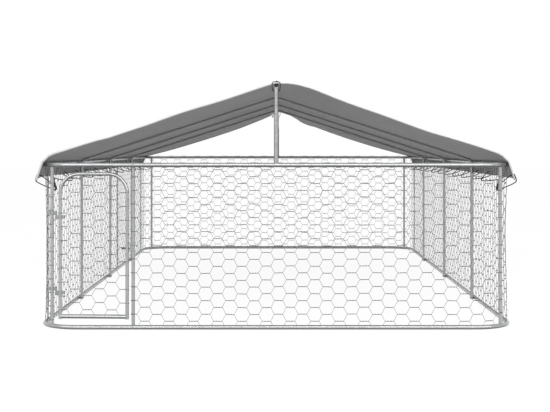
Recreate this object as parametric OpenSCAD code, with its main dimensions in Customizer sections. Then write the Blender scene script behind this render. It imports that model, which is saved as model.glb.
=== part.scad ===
// Walk-in outdoor dog run: a bolted ring frame of round galvanised tube,
// hexagon wire netting on four walls, a hinged door and a sheet roof.
// Millimetres. The origin is on the ground under the middle of the run,
// +Z is up, and the door is in the front wall, which faces -Y.

/* [Run] */
// Outside width across the side rails
run_w = 3000; // [2600:50:3600]
// Outside length along the side rails
run_l = 6000; // [5000:100:7200]
// Height between the centres of the bottom and top rails
wall_h = 1013; // [1005:1:1300]
// Height of the ridge tube's centre above the top rails' centres
ridge_rise = 497; // [400:1:640]
// Equal bays along each side
bays = 4; // [3:1:5]
// Centreline radius of the corner bends
corner_r = 250; // [220:5:300]

/* [Tubes] */
// Diameter of the rails and the lower king posts
rail_d = 28; // [26:0.5:32]
// Diameter of the posts, rafters, ridge and door frame
post_d = 22; // [19:0.5:23]
// Wall of every tube
tube_wall = 1.2; // [1:0.1:1.5]
// Radial play of one tube inside another
slip = 0.2; // [0.1:0.05:0.3]
// Length of a swaged spigot inside the next tube
spigot_l = 60; // [40:5:80]
// Length of the taper from a tube to its spigot
neck_l = 8; // [5:1:12]
// Distance of a rail or ridge joint past the post beside it
joint_off = 90; // [80:5:160]
// Height of the foot of the side posts and the jamb above the ground
post_foot = 2; // [1:0.5:6]
// Length of the seam where a bend meets its straight stub
seam_l = 3; // [2:0.5:4]

/* [Roof frame] */
// Centreline radius of the bend at the top of a rafter pair
apex_r = 120; // [80:5:160]
// Centreline radius of the bend at the top of a side post
eave_r = 35; // [30:1:45]
// Straight stub past a roof bend, before its spigot
stub_l = 40; // [30:5:60]
// Height of a lower king post above the top rail's centre
king_h = 323; // [240:1:340]
// Overlap of the two king post tubes
king_lap = 90; // [60:5:140]
// Height of the lip of a king post's bush
collar_lip = 3; // [2:0.5:5]
// Depth of a king post's bush below its lip
collar_h = 30; // [20:1:40]
// Diameter of one wing of a wing screw
wing_l = 14; // [10:1:18]
// Thickness of the wings of a wing screw
wing_t = 2.5; // [2:0.5:4]
// Thickness of the cap of a ridge plug
plug_lip = 2; // [1:0.5:4]
// Depth of a ridge plug in the tube
plug_l = 6; // [4:1:15]

/* [Screws] */
// Shank diameter of the frame screws and bolts
screw_d = 6; // [5:0.5:7]
// Head diameter of the frame screws and bolts
head_d = 12; // [10:0.5:13]
// Head height of the frame screws and bolts
head_h = 4; // [3:0.5:5]

/* [Netting] */
// Side of one hexagon, a few meshes of the wire taken as one
net_side = 162; // [150:2:190]
// Width of one strand
strand_w = 4; // [3:0.5:6]
// Thickness of the netting
net_t = 3; // [2:0.5:4]
// Gap between the netting and a post that it ends on
net_end = 4; // [3.5:0.5:8]

/* [Roof sheet] */
// Thickness of the sheet
sheet_t = 2; // [1.5:0.5:3]
// Distance of the sheet's end edges behind the end rails
setback = 120; // [100:5:200]
// Length of the flap below the side rails
flap_l = 90; // [80:2:120]
// Lean of the flap from upright
flap_lean = 19; // [10:1:26]
// Share of the corner bends that the eaves of the sheet follow at its ends
eave_tuck = 0.6; // [0:0.05:0.85]
// Sag of the sheet halfway between two rafters
bay_sag = 14; // [0:1:24]
// Lift of the front edge at the ridge
ridge_lift = 12; // [0:1:20]
// Lift of the front edge where the sheet turns down to the eaves
eave_lift = 30; // [0:1:40]
// Lift of the hump in the front edge, to the right of the ridge
hump_lift = 46; // [0:1:60]
// Sag of the back edge
back_sag = 36; // [0:1:40]
// Largest distance between eyelets along the flap
eyelet_pitch = 480; // [400:10:600]
// Outside diameter of an eyelet
eyelet_d = 22; // [18:1:24]
// Diameter of the hole of an eyelet
eyelet_bore = 12; // [11:0.5:14]
// Distance of the eyelets from the edge of the sheet
eyelet_in = 20; // [16:1:26]
// Height of an eyelet's lip above the sheet
eyelet_lip = 1; // [0.5:0.5:2]
// Diameter of the lacing cord
cord_d = 5; // [4:0.5:6]
// Distance of the lacing's turns below the centres of the top rails
lace_drop = 122; // [110:1:140]
// Distance from an eyelet to the turn of the lacing past it
lace_lead = 90; // [60:5:120]
// Drop of the ridge ties round the king posts
tie_drop = 72; // [60:1:90]

/* [Door] */
// Distance between the axes of the door's two stiles
door_w = 424; // [380:1:520]
// Height of the foot of the stiles above the ground
door_foot = 60; // [45:1:90]
// Height of the axis of the door's top bow
door_top = 970; // [900:1:975]
// Centreline radius of the door's top corners
door_r = 118; // [80:1:135]
// Diameter of the door's bottom bar
bar_d = 26; // [24:0.5:30]
// Distance from the corner post's axis to the hinge stile's axis
hinge_gap = 61; // [58:1:70]
// Direction of the hinge stile seen from the corner post
hinge_turn = 24.5; // [15:0.5:35]
// Height of the lower hinge
hinge_low = 236; // [180:1:320]
// Height of the upper hinge
hinge_high = 711; // [600:1:800]
// Height of one hinge leaf
leaf_h = 22; // [16:1:26]
// Thickness of the clamp bands
band_t = 2.5; // [2:0.5:3]
// Diameter of the hinge pin
pin_d = 6; // [5:0.5:7]
// Shank diameter of the clamp bolts
clamp_d = 5; // [4:0.5:6]
// Height of the heads and nuts of the clamp bolts
clamp_head = 2.5; // [2:0.5:3]
// Length of a clamp's ears
ear_l = 18; // [15:0.5:20]
// Gap between a clamp's ears
ear_gap = 3; // [2:0.5:4]
// Distance from the latch stile's axis to the jamb's axis
latch_gap = 38.5; // [37.5:0.5:45]
// Height of the latch bolt
latch_z = 503; // [400:1:600]
// Diameter of the latch bolt
bolt_d = 8; // [6:0.5:9]
// Travel of the latch bolt
bolt_travel = 13; // [9:1:14]
// Length of the latch bolt's knob
knob_l = 8; // [6:0.5:14]
// Length of the latch bolt past its stile when it is drawn back
bolt_proud = 4; // [3:0.5:5]
// Height of the latch keeper
keeper_h = 59; // [50:1:80]
// Gap between the drawn latch bolt and the keeper
keeper_play = 3.5; // [3:0.5:4.5]
// Diameter of the keeper's screws
keeper_screw_d = 5; // [4:0.5:6]

/* [Fits] */
// Gap kept between pieces that touch
touch = 0.2; // [0.15:0.05:0.3]
// Gap kept under the sheet and round the netting
lay = 0.3; // [0.2:0.05:0.5]
// Radial play of a pin that turns or slides
running = 0.05; // [0.02:0.01:0.09]

/* [Hidden] */
$fn = 48;
rail_r = rail_d / 2;
post_r = post_d / 2;
// rail centrelines
hx = run_w / 2 - rail_r;
hy = run_l / 2 - rail_r;
zb = rail_r;
zt = zb + wall_h;
zr = zt + ridge_rise;
// straight half lengths of the rails, between the corner bends
sx = hx - corner_r;
sy = hy - corner_r;
// corner posts stand on the middle of the bends
cx = sx + corner_r * cos(45);
cy = sy + corner_r * sin(45);
// side posts and rafters stand against the inside of the side rails
px = hx - rail_r - post_r - touch;
bay_l = run_l / bays;
post_y = [for (i = [1:bays - 1]) i * bay_l - run_l / 2];

// The sheet lies on a straight line over the ridge tube and the side rail.
ridge_lay = post_r + lay;
rail_lay = rail_r + lay;
sheet_a = atan((zr - zt) / hx) - asin((rail_lay - ridge_lay) / norm([hx, zr - zt]));
function sheet_z(x) = zt + rail_lay / cos(sheet_a) + (hx - x) * tan(sheet_a);
// Rafters run under the sheet from the side posts to below the ridge tube.
eave_z = round(100 * (sheet_z(px) - 2 * touch - post_r / cos(sheet_a))) / 100;
apex_z = zr - post_d - touch;
function apex_tip(a) = apex_z + apex_r * (1 / cos(a) - 1);
function rafter_angle(a, n) = n == 0 ? a : rafter_angle(atan((apex_tip(a) - eave_z) / px), n - 1);
rafter_a = round(1000 * rafter_angle(sheet_a, 5)) / 1000;
rafter_l = px / cos(rafter_a);
eave_turn = 90 - rafter_a;
eave_cut = round(100 * eave_r * tan(eave_turn / 2)) / 100;
apex_cut = apex_r * tan(rafter_a);
// centre of the bend at the eave, and the seat of the screw that runs from it to the rail
eave_c = [px - eave_r, eave_z - eave_cut];
eave_to_rail = [hx, zt] - eave_c;
eave_seat = sqrt(pow(eave_r - post_r - touch, 2) - pow(head_d / 2, 2));
low_screw_l = post_d + rail_r;
top_screw_l = norm(eave_to_rail) - eave_seat - touch;

// Door frame of reference: origin at the hinge stile, +X towards the jamb.
corner_p = [-cx, -cy];
stile_p = corner_p + hinge_gap * [cos(hinge_turn), -sin(hinge_turn)];
pin_p = (corner_p + stile_p) / 2;
jamb_y = -hy + rail_r + post_r + touch;
door_reach = door_w + latch_gap;
door_a = asin((jamb_y - stile_p.y) / door_reach);
jamb_p = stile_p + door_reach * [cos(door_a), sin(door_a)];
bar_z = door_foot + bar_d / 2 + 3;
door_net_y = bolt_d / 2 + 6;
knob_d = bolt_d + 4;
knuckle_d = pin_d + 7;
hinge_z = [hinge_low, hinge_high];

galvanised = [0.70, 0.71, 0.72];
plated = [0.62, 0.63, 0.65];
wire = [0.60, 0.61, 0.62];
sheet_grey = [0.42, 0.42, 0.43];
black = [0.07, 0.07, 0.07];
bush_grey = [0.66, 0.66, 0.67];

// Tubes, bends and swaged ends

function spigot_d(d) = d - 2 * tube_wall - 2 * slip;

module ring(d) {
  difference() {
    circle(d = d);
    circle(d = d - 2 * tube_wall);
  }
}

module pipe(d, l) {
  linear_extrude(l) ring(d);
}

// a tube from z = 0 to l whose end is reduced to a spigot past l
module swaged(d, l) {
  ro = d / 2;
  so = spigot_d(d) / 2;
  rotate_extrude() polygon([
    [ro - tube_wall, 0], [ro, 0], [ro, l - neck_l], [so, l], [so, l + spigot_l],
    [so - tube_wall, l + spigot_l], [so - tube_wall, l], [ro - tube_wall, l - neck_l]
  ]);
}

// a bend in the XY plane about the origin, from the +X axis
module bend(d, r, angle) {
  rotate_extrude(angle = angle, $fn = 96) translate([r, 0]) ring(d);
}

// a stub on the end of a bend that lies in the XY plane, at the given angle and
// turned the given way, with a seam over the short gap that the bend leaves there
module bend_stub(d, r, angle, way) {
  rotate([0, 0, angle]) translate([r, 0, 0]) rotate([-90 * way, 0, 0]) {
    swaged(d, stub_l);
    translate([0, 0, -seam_l / 2]) difference() {
      cylinder(d = d + touch, h = seam_l);
      translate([0, 0, -1]) cylinder(d = d - tube_wall, h = seam_l + 2);
    }
  }
}

function seam_a(r) = seam_l / 6 / r * 180 / PI;

// tubes in line along +Z through the given stops, each swaged into the next
module tube_line(d, stops) {
  last = len(stops) - 2;
  for (i = [0:last]) {
    translate([0, 0, stops[i]]) {
      if (i < last) swaged(d, stops[i + 1] - stops[i]);
      else pipe(d, stops[i + 1] - stops[i]);
    }
  }
}

module along_x() {
  rotate([90, 0, 90]) children();
}

module along_y() {
  rotate([-90, 0, 0]) children();
}

module screw(l, d = screw_d) {
  cylinder(d = d, h = l);
  translate([0, 0, -head_h]) cylinder(d = head_d, h = head_h + touch / 2);
}

module hex_nut(d, af, h) {
  difference() {
    cylinder(d = af / cos(30), h = h, $fn = 6);
    translate([0, 0, -1]) cylinder(d = d + 2 * touch, h = h + 2);
  }
}

// Corner bends, with a spigot for the corner post and swaged ends for the rails

module corner_bend(up) {
  difference() {
    union() {
      rotate_extrude(angle = 90, $fn = 96) translate([corner_r, 0]) circle(d = rail_d);
      rotate([0, 0, 45]) translate([corner_r, 0, 0]) mirror([0, 0, up ? 0 : 1])
        cylinder(d = spigot_d(post_d), h = rail_r + spigot_l);
    }
    rotate_extrude(angle = 90, $fn = 96) translate([corner_r, 0]) circle(d = rail_d - 2 * tube_wall);
  }
  translate([corner_r, 0, 0]) rotate([90, 0, 0]) swaged(rail_d, neck_l);
  translate([0, corner_r, 0]) rotate([0, -90, 0]) swaged(rail_d, neck_l);
}

module corner_bends(z, up) {
  color(galvanised)
    for (mx = [0, 1], my = [0, 1])
      mirror([mx, 0, 0]) mirror([0, my, 0]) translate([sx, sy, z]) corner_bend(up);
}

module bottom_bends() corner_bends(zb, true);

module top_bends() corner_bends(zt, false);

// Straight rails between the bends, in lengths that plug together

module end_rail(z) {
  translate([0, 0, z]) along_x() tube_line(rail_d, [neck_l - sx, joint_off, sx - neck_l]);
}

side_stops = concat([neck_l - sy], [for (y = post_y) y + joint_off], [sy - neck_l]);

module side_rail(side, z) {
  color(galvanised) difference() {
    translate([side * hx, 0, z]) along_y() tube_line(rail_d, side_stops);
    on_side(side) {
      low_screw_axis() screw_bore(low_screw_l);
      top_screw_axis() screw_bore(top_screw_l);
    }
  }
}

// through bolts hold the jamb behind the front rails
module jamb_bores() {
  for (z = [zb, zt])
    translate([jamb_p.x, -hy - rail_d, z]) along_y()
      cylinder(d = screw_d + 2 * touch, h = 2 * rail_d + 2 * post_d);
}

module king_spigot(end) {
  difference() {
    translate([0, end * hy, zt]) cylinder(d = spigot_d(rail_d), h = rail_r + spigot_l);
    translate([0, end * hy, zt]) along_x() cylinder(d = rail_d - tube_wall, h = 4 * rail_d, center = true);
  }
}

module front_bottom_rail() {
  color(galvanised) difference() {
    translate([0, -hy, 0]) end_rail(zb);
    jamb_bores();
  }
}

module back_bottom_rail() {
  color(galvanised) translate([0, hy, 0]) end_rail(zb);
}

module front_top_rail() {
  color(galvanised) {
    difference() {
      translate([0, -hy, 0]) end_rail(zt);
      jamb_bores();
    }
    king_spigot(-1);
  }
}

module back_top_rail() {
  color(galvanised) {
    translate([0, hy, 0]) end_rail(zt);
    king_spigot(1);
  }
}

module left_bottom_rail() side_rail(-1, zb);

module right_bottom_rail() side_rail(1, zb);

module left_top_rail() side_rail(-1, zt);

module right_top_rail() side_rail(1, zt);

// Corner posts slip over the bends' spigots

module corner_post(side, end) {
  foot = zb + rail_r + touch;
  color(galvanised) translate([side * cx, end * cy, foot]) pipe(post_d, zt - rail_r - touch - foot);
}

module front_left_post() corner_post(-1, -1);

module front_right_post() corner_post(1, -1);

module back_left_post() corner_post(-1, 1);

module back_right_post() corner_post(1, 1);

// Jamb post behind the front rails, held by a bolt at each rail

module jamb_post() {
  color(galvanised) difference() {
    translate([jamb_p.x, jamb_p.y, post_foot]) pipe(post_d, zt + rail_r - post_foot);
    jamb_bores();
    keeper_bores();
  }
}

module jamb_bolts() {
  shank = rail_d + post_d + touch + head_h + 2;
  color(plated)
    for (z = [zb, zt])
      translate([jamb_p.x, -hy - rail_r - touch, z]) along_y() screw(shank + touch);
}

module jamb_nuts() {
  color(plated)
    for (z = [zb, zt])
      translate([jamb_p.x, jamb_p.y + post_r + touch, z]) along_y() hex_nut(screw_d, head_d - 2, head_h);
}

// Side posts, bent over at the eaves into a spigot for the rafter

module side_post() {
  difference() {
    union() {
      translate([px, 0, post_foot]) pipe(post_d, eave_c.y - post_foot);
      translate([eave_c.x, 0, eave_c.y]) rotate([90, 0, 0]) {
        bend(post_d, eave_r, eave_turn - seam_a(eave_r));
        bend_stub(post_d, eave_r, eave_turn, 1);
      }
    }
    low_screw_axis() screw_bore(low_screw_l);
    top_screw_axis() screw_bore(top_screw_l);
  }
}

// +Z along the right-hand rafter, from the corner above a side post
module rafter_axis() {
  translate([px, 0, eave_z]) rotate([0, rafter_a - 90, 0]) children();
}

// Screws from inside the run go through each side post into the near wall of
// its rail: level at the bottom, and square to the eave bend at the top.
module low_screw_axis() {
  translate([px - post_r - touch, 0, zb]) along_x() children();
}

module top_screw_axis() {
  translate([eave_c.x, 0, eave_c.y]) rotate([0, -atan2(eave_to_rail.y, eave_to_rail.x), 0]) along_x()
    translate([0, 0, eave_seat]) children();
}

module screw_bore(l) {
  translate([0, 0, -head_h]) cylinder(d = screw_d + 2 * touch, h = l + head_h + touch);
}

module on_side(side) {
  for (y = post_y)
    translate([0, y, 0]) mirror([side < 0 ? 1 : 0, 0, 0]) children();
}

module left_side_posts() {
  color(galvanised) on_side(-1) side_post();
}

module right_side_posts() {
  color(galvanised) on_side(1) side_post();
}

module post_screws() {
  color(plated)
    for (side = [-1, 1])
      on_side(side) {
        low_screw_axis() screw(low_screw_l);
        top_screw_axis() screw(top_screw_l);
      }
}

// King posts: a lower tube on the end rail and a thinner tube slid out of it

king_top = zt + king_h;
king_foot = zt + rail_r + touch;
wing_z = king_top - collar_h / 2;

module king_lower(end) {
  color(galvanised) difference() {
    translate([0, end * hy, king_foot]) pipe(rail_d, king_top - king_foot);
    translate([0, end * hy, wing_z]) rotate([0, -90, 0]) cylinder(d = screw_d + 2 * touch, h = rail_d);
  }
}

module king_upper(end) {
  foot = king_top - king_lap;
  head = zr - foot;
  color(galvanised) difference() {
    translate([0, end * hy, foot]) cylinder(d = post_d, h = head);
    translate([0, end * hy, foot - 1]) cylinder(d = post_d - 2 * tube_wall, h = head - post_d - head_h);
    translate([0, end * hy, zr]) along_y() cylinder(d = post_d + 2 * touch, h = 2 * post_d, center = true);
    translate([0, end * hy, zr - 2 * post_d]) cylinder(d = screw_d + 2 * touch, h = 2 * post_d);
  }
}

module front_king_lower() king_lower(-1);

module front_king_upper() king_upper(-1);

module back_king_lower() king_lower(1);

module back_king_upper() king_upper(1);

// lipped bushes that centre the upper tube in the lower one
module king_collars() {
  bush_r = rail_r - tube_wall - slip;
  color(bush_grey)
    for (end = [-1, 1])
      translate([0, end * hy, king_top]) difference() {
        union() {
          translate([0, 0, touch]) cylinder(r = rail_r, h = collar_lip);
          translate([0, 0, -collar_h]) cylinder(r = bush_r, h = collar_h + collar_lip);
        }
        translate([0, 0, -collar_h - 1]) cylinder(r = post_r + slip, h = collar_h + collar_lip + 2);
        translate([0, 0, wing_z - king_top]) rotate([0, -90, 0])
          cylinder(d = screw_d + 2 * touch, h = rail_d);
      }
}

// wing screws that hold the upper tube at its height
module king_screws() {
  tip = post_r + touch;
  hub = rail_r + 1;
  color(plated)
    for (end = [-1, 1])
      translate([0, end * hy, wing_z]) rotate([0, -90, 0]) {
        translate([0, 0, tip]) cylinder(d = screw_d, h = hub + wing_l / 2 - tip);
        translate([0, 0, hub]) cylinder(d = screw_d + 4, h = wing_l / 2);
        for (s = [-1, 1])
          translate([s * wing_l / 2, 0, hub + wing_l / 2]) rotate([90, 0, 0])
            cylinder(d = wing_l, h = wing_t, center = true);
      }
}

// screws down through the ridge tube into the king posts
module king_top_screws() {
  color(plated)
    for (end = [-1, 1])
      translate([0, end * hy, zr + post_r + touch]) mirror([0, 0, 1]) screw(post_d + post_r);
}

// Rafters, the bends that join each pair, and the ridge tube on top of them

module apex_bend() {
  difference() {
    translate([0, 0, apex_z - apex_r]) rotate([90, 0, 0]) {
      rotate([0, 0, 90 - rafter_a + seam_a(apex_r)]) bend(post_d, apex_r, 2 * rafter_a - 2 * seam_a(apex_r));
      for (m = [0, 1]) mirror([m, 0, 0]) bend_stub(post_d, apex_r, 90 - rafter_a, -1);
    }
    ridge_bore();
  }
}

module ridge_bore() {
  translate([0, 0, apex_z - post_d]) cylinder(d = screw_d + 2 * touch, h = post_d + post_d);
}

module apex_bends() {
  color(galvanised)
    for (y = post_y) translate([0, y, 0]) apex_bend();
}

module rafter() {
  from = eave_cut + stub_l;
  to = rafter_l - apex_cut - stub_l;
  rafter_axis() translate([0, 0, from]) pipe(post_d, to - from);
}

module left_rafters() {
  color(galvanised) on_side(-1) rafter();
}

module right_rafters() {
  color(galvanised) on_side(1) rafter();
}

ridge_end = hy + rail_r;
ridge_stops = concat([-ridge_end], [for (y = post_y) y + joint_off], [ridge_end]);

module ridge_tube() {
  color(galvanised) difference() {
    translate([0, 0, zr]) along_y() tube_line(post_d, ridge_stops);
    for (y = post_y) translate([0, y, 0]) ridge_bore();
    for (end = [-1, 1])
      translate([0, end * hy, zr - post_d]) cylinder(d = screw_d + 2 * touch, h = 2 * post_d);
  }
}

// screws up through each apex bend into the ridge tube
module ridge_screws() {
  color(plated)
    for (y = post_y)
      translate([0, y, apex_z - post_r - touch]) screw(post_d + post_r);
}

module ridge_end_plugs() {
  color(black)
    for (end = [-1, 1])
      translate([0, end * (ridge_end + touch / 2), zr]) rotate([-90 * end, 0, 0]) {
        cylinder(d = post_d, h = plug_lip);
        translate([0, 0, -plug_l]) cylinder(d = spigot_d(post_d), h = plug_l + plug_lip);
      }
}

// Netting: a wall along +X from 0 to l, with arcs of the corner bends at its ends

net_foot = zb + rail_r + lay;
net_h = zt - rail_r - lay - net_foot;
net_rows = round(2 * net_h / (sqrt(3) * net_side)) / 2;
row_h = net_h / net_rows;
arc_l = corner_r * PI / 4 - post_r - net_end;
arc_a = arc_l / corner_r * 180 / PI;

// the wall's line in plan, and its direction, at the place u along it
function wall_arc(u, l) = (u < 0 ? u : u > l ? u - l : 0) / corner_r * 180 / PI;
function wall_p(u, l) = let (a = wall_arc(u, l))
  [max(0, min(u, l)) + corner_r * sin(a), corner_r * (1 - cos(a))];
function wall_dir(u, l) = let (a = wall_arc(u, l)) [cos(a), sin(a)];

// corners of one hexagon of the netting about its centre, less half a strand
function mesh_corners(col_w, row) = [
  for (p = [[2, 0], [1, 1], [-1, 1], [-2, 0], [-1, -1], [1, -1]])
    (1 - strand_w / row) * [p.x * col_w / 3, p.y * row / 2]
];

// a hole of the netting at height v, kept off both edges of a band of height h
module mesh_hole(corners, v, h) {
  reach = 2 * max([for (c = corners) abs(c.x)]);
  intersection() {
    translate([0, v]) polygon(corners);
    translate([-reach, strand_w]) square([2 * reach, h - 2 * strand_w]);
  }
}

module arc_sheet() {
  rotate([0, 0, -90]) rotate_extrude(angle = arc_a, $fn = 96)
    translate([corner_r - net_t / 2, 0]) square([net_t, net_h]);
}

module net_wall(l, left_arc, right_arc) {
  u0 = left_arc ? -arc_l : 0;
  u1 = right_arc ? l + arc_l : l;
  cols = round((u1 - u0) / (1.5 * net_side));
  col_w = (u1 - u0) / cols;
  color(wire) translate([0, 0, net_foot]) difference() {
    union() {
      translate([0, -net_t / 2, 0]) cube([l, net_t, net_h]);
      if (right_arc) translate([l, corner_r, 0]) arc_sheet();
      if (left_arc) mirror([1, 0, 0]) translate([0, corner_r, 0]) arc_sheet();
    }
    for (i = [0:cols])
      let (
        u = u0 + i * col_w,
        p = wall_p(u, l),
        d = wall_dir(u, l),
        corners = [for (c = mesh_corners(col_w, row_h)) [(wall_p(u + c.x, l) - p) * d, c.y]]
      )
        translate([p.x, p.y, 0]) rotate([90, 0, wall_arc(u, l)])
          for (j = [0:ceil(net_rows)])
            linear_extrude(corner_r / 2, center = true)
              mesh_hole(corners, (j + (i % 2 == 0 ? 0.5 : 0)) * row_h, net_h);
  }
}

module front_net() {
  translate([jamb_p.x, -hy, 0]) net_wall(sx - jamb_p.x, false, true);
}

module back_net() {
  translate([sx, hy, 0]) rotate([0, 0, 180]) net_wall(2 * sx, true, true);
}

module left_net() {
  translate([-hx, sy, 0]) rotate([0, 0, -90]) net_wall(2 * sy, true, true);
}

module right_net() {
  translate([hx, -sy, 0]) rotate([0, 0, 90]) net_wall(2 * sy, true, true);
}

// Roof sheet: rows of points across the roof, from flap edge to flap edge

sheet_end = hy - setback;
slope_steps = 8;
bay_steps = 4;
slope_from = ridge_lay * [sin(sheet_a), cos(sheet_a)] + [0, zr];
slope_to = rail_lay * [sin(sheet_a), cos(sheet_a)] + [hx, zt];
flap_dir = [sin(flap_lean), -cos(flap_lean)];
flap_out = [cos(flap_lean), sin(flap_lean)];
flap_from = rail_lay * flap_out + [hx, zt];

// half of the section: place on the inside, outward normal and place down the slope
half_section = concat(
  [[[0, zr + ridge_lay], [0, 1], 0]],
  [for (i = [0:slope_steps]) let (t = i / slope_steps)
    [slope_from + t * (slope_to - slope_from), [sin(sheet_a), cos(sheet_a)], t]],
  [for (k = [1, 2]) let (a = sheet_a + k * (90 - flap_lean - sheet_a) / 3)
    [rail_lay * [sin(a), cos(a)] + [hx, zt], [sin(a), cos(a)], 1]],
  [[flap_from, flap_out, 1], [flap_from + flap_l * flap_dir, flap_out, 1]]
);
half_n = len(half_section);
function section_point(i) = let (p = half_section[abs(i)], s = i < 0 ? -1 : 1)
  [[s * p[0].x, p[0].y], [s * p[1].x, p[1].y], p[2], s];

// shares of the sag and the lift at the place t down the slope
function sag_at(t) = 4 * t * (1 - t);
function lift_at(t, side) = ridge_lift * (1 - t) + eave_lift * t * (1 - pow(t, 16))
  + (side > 0 ? hump_lift * pow(1 - t, 1.5) * (1 - exp(-25 * t)) : 0);

// distance that the eaves are drawn in over the corner bends at both ends, and the turn there
tuck_l = corner_r - setback;
tuck_end = eave_tuck * (corner_r + rail_lay - sqrt(pow(corner_r + rail_lay, 2) - tuck_l * tuck_l));
tuck_y = [sy + tuck_l / 4, sy + tuck_l / 2, sheet_end];
function tuck(y) = tuck_end * lookup(abs(y), [[tuck_y[0], 0], [tuck_y[1], 0.2], [tuck_y[2], 1]]);
function tuck_turn(y) = sign(y) * atan((tuck(abs(y) + 1) - tuck(abs(y) - 1)) / 2);

// stations along the run, each with the sag and the share of the lift there
sheet_stops = concat([-sheet_end], post_y, [sheet_end]);
function bay_station(b, f) = sheet_stops[b] + f * (sheet_stops[b + 1] - sheet_stops[b]);
function edge_sag(b, f) = b == bays - 1 ? back_sag * f : 0;
function edge_lift(b, f) = b == 0 ? pow(1 - f, 2) : 0;
function station(b, f) = [
  bay_station(b, f), edge_sag(b, f) + bay_sag * pow(sin(180 * f), 2), edge_lift(b, f)
];
end_f = [for (i = [0, 1]) (sheet_end - tuck_y[1 - i]) / (sheet_end + post_y[0])];
stations = concat(
  [station(0, 0), station(0, end_f[0]), station(0, end_f[1])],
  [for (b = [0:bays - 1], j = [0:bay_steps - 1]) if (b + j > 0) station(b, j / bay_steps)],
  [for (f = [1 - end_f[1], 1 - end_f[0], 1]) station(bays - 1, f)]
);
across = 2 * half_n - 1;
station_n = len(stations);
function skin(t) = [
  for (st = stations, i = [1 - half_n:half_n - 1]) let (p = section_point(i), q = p[0] + t * p[1])
    [q.x - p[3] * p[2] * tuck(st[0]), st[0], q.y - sag_at(p[2]) * st[1] + lift_at(p[2], p[3]) * st[2]]
];

module sheet_roof() {
  total = across * station_n;
  last = station_n - 1;
  color(sheet_grey) polyhedron(
    points = concat(skin(0), skin(sheet_t)),
    faces = [
      for (r = [0:last - 1], c = [0:across - 2]) let (a = r * across + c, b = a + across)
        each [
          [a, a + 1, b + 1], [a, b + 1, b],
          [total + a, total + b + 1, total + a + 1], [total + a, total + b, total + b + 1]
        ],
      for (c = [0:across - 2]) let (a = c, b = last * across + c)
        each [
          [a, total + a, total + a + 1], [a, total + a + 1, a + 1],
          [b, total + b + 1, total + b], [b, b + 1, total + b + 1]
        ],
      for (r = [0:last - 1]) let (a = r * across, b = a + across, e = a + across - 1, f = e + across)
        each [
          [a, b, total + b], [a, total + b, total + a],
          [e, total + f, f], [e, total + e, total + f]
        ]
    ]
  );
}

// Eyelets through the flaps and the ridge ends of the sheet

eyelet_span = 2 * (sheet_end - eyelet_in - eyelet_d / 2);
eyelet_n = ceil(eyelet_span / eyelet_pitch);
eyelet_step = eyelet_span / eyelet_n;
eyelet_y = [for (i = [0:eyelet_n]) i * eyelet_step - eyelet_span / 2];
eyelet_p = flap_from + (flap_l - eyelet_in) * flap_dir;
// height of the sheet over the ridge tube at the front and back ridge eyelets
front_eye = ridge_lift * edge_lift(0, eyelet_in / (sheet_end + post_y[0]));
back_eye = eyelet_lip;

module eyelet() {
  translate([0, 0, -eyelet_lip]) rotate_extrude()
    translate([eyelet_bore / 2, 0]) square([(eyelet_d - eyelet_bore) / 2, sheet_t + 2 * eyelet_lip]);
}

module eyelets() {
  color(plated) {
    for (m = [0, 1], y = eyelet_y)
      mirror([m, 0, 0]) translate([eyelet_p.x - tuck(y), y, eyelet_p.y])
        rotate([0, 0, tuck_turn(y)]) rotate([0, 90 - flap_lean, 0]) eyelet();
    translate([0, eyelet_in - sheet_end, zr + ridge_lay + front_eye]) eyelet();
    translate([0, sheet_end - eyelet_in, zr + ridge_lay + back_eye]) eyelet();
  }
}

// Cords: a round tube swept along a list of points

cord_sides = 6;
function unit(v) = v / norm(v);
function heading(path, i) = unit(unit(path[min(i + 1, len(path) - 1)] - path[i == len(path) - 1 ? i - 1 : i])
  + unit(path[i == 0 ? 1 : i] - path[max(i - 1, 0)]));
function square_to(v, h) = unit(v - (v * h) * h);
function carried(path, i, v) = i == len(path) ? []
  : let (w = square_to(v, heading(path, i))) concat([w], carried(path, i + 1, w));

module cord(path) {
  n = len(path);
  sides = carried(path, 0, [0.31, 0.17, 0.93]);
  points = [
    for (i = [0:n - 1], k = [0:cord_sides - 1])
      let (u = sides[i], v = cross(heading(path, i), u), a = 360 * k / cord_sides)
        path[i] + cord_d / 2 * (cos(a) * u + sin(a) * v)
  ];
  function at(i, k) = i * cord_sides + k % cord_sides;
  color(black) polyhedron(points = points, faces = [
    [for (k = [0:cord_sides - 1]) k],
    [for (k = [cord_sides - 1:-1:0]) at(n - 1, k)],
    for (i = [0:n - 2], k = [0:cord_sides - 1])
      each [[at(i, k), at(i + 1, k), at(i + 1, k + 1)], [at(i, k), at(i + 1, k + 1), at(i, k + 1)]]
  ]);
}

// The lacing starts on a wire of the netting and goes out through each eyelet,
// under the edge of the flap, and back round a wire a little past the next eyelet.
cord_clear = cord_d / 2 + eyelet_lip + 1;
lace_z = zt - lace_drop;
lace_out = eyelet_p + (sheet_t + cord_clear) * flap_out;
lace_in = eyelet_p - cord_clear * flap_out;
lace_rim = flap_from + flap_l * flap_dir + (sheet_t + cord_clear) * flap_out;
lace_edge = flap_from + (flap_l + cord_clear) * flap_dir;
lace_turn = hx - net_t / 2 - cord_clear;
lace_end = [cx + post_r + cord_clear, cy + post_r + cord_clear, lace_z];
function lace_at(p, y) = [p.x - tuck(y), y, p.y];
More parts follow.
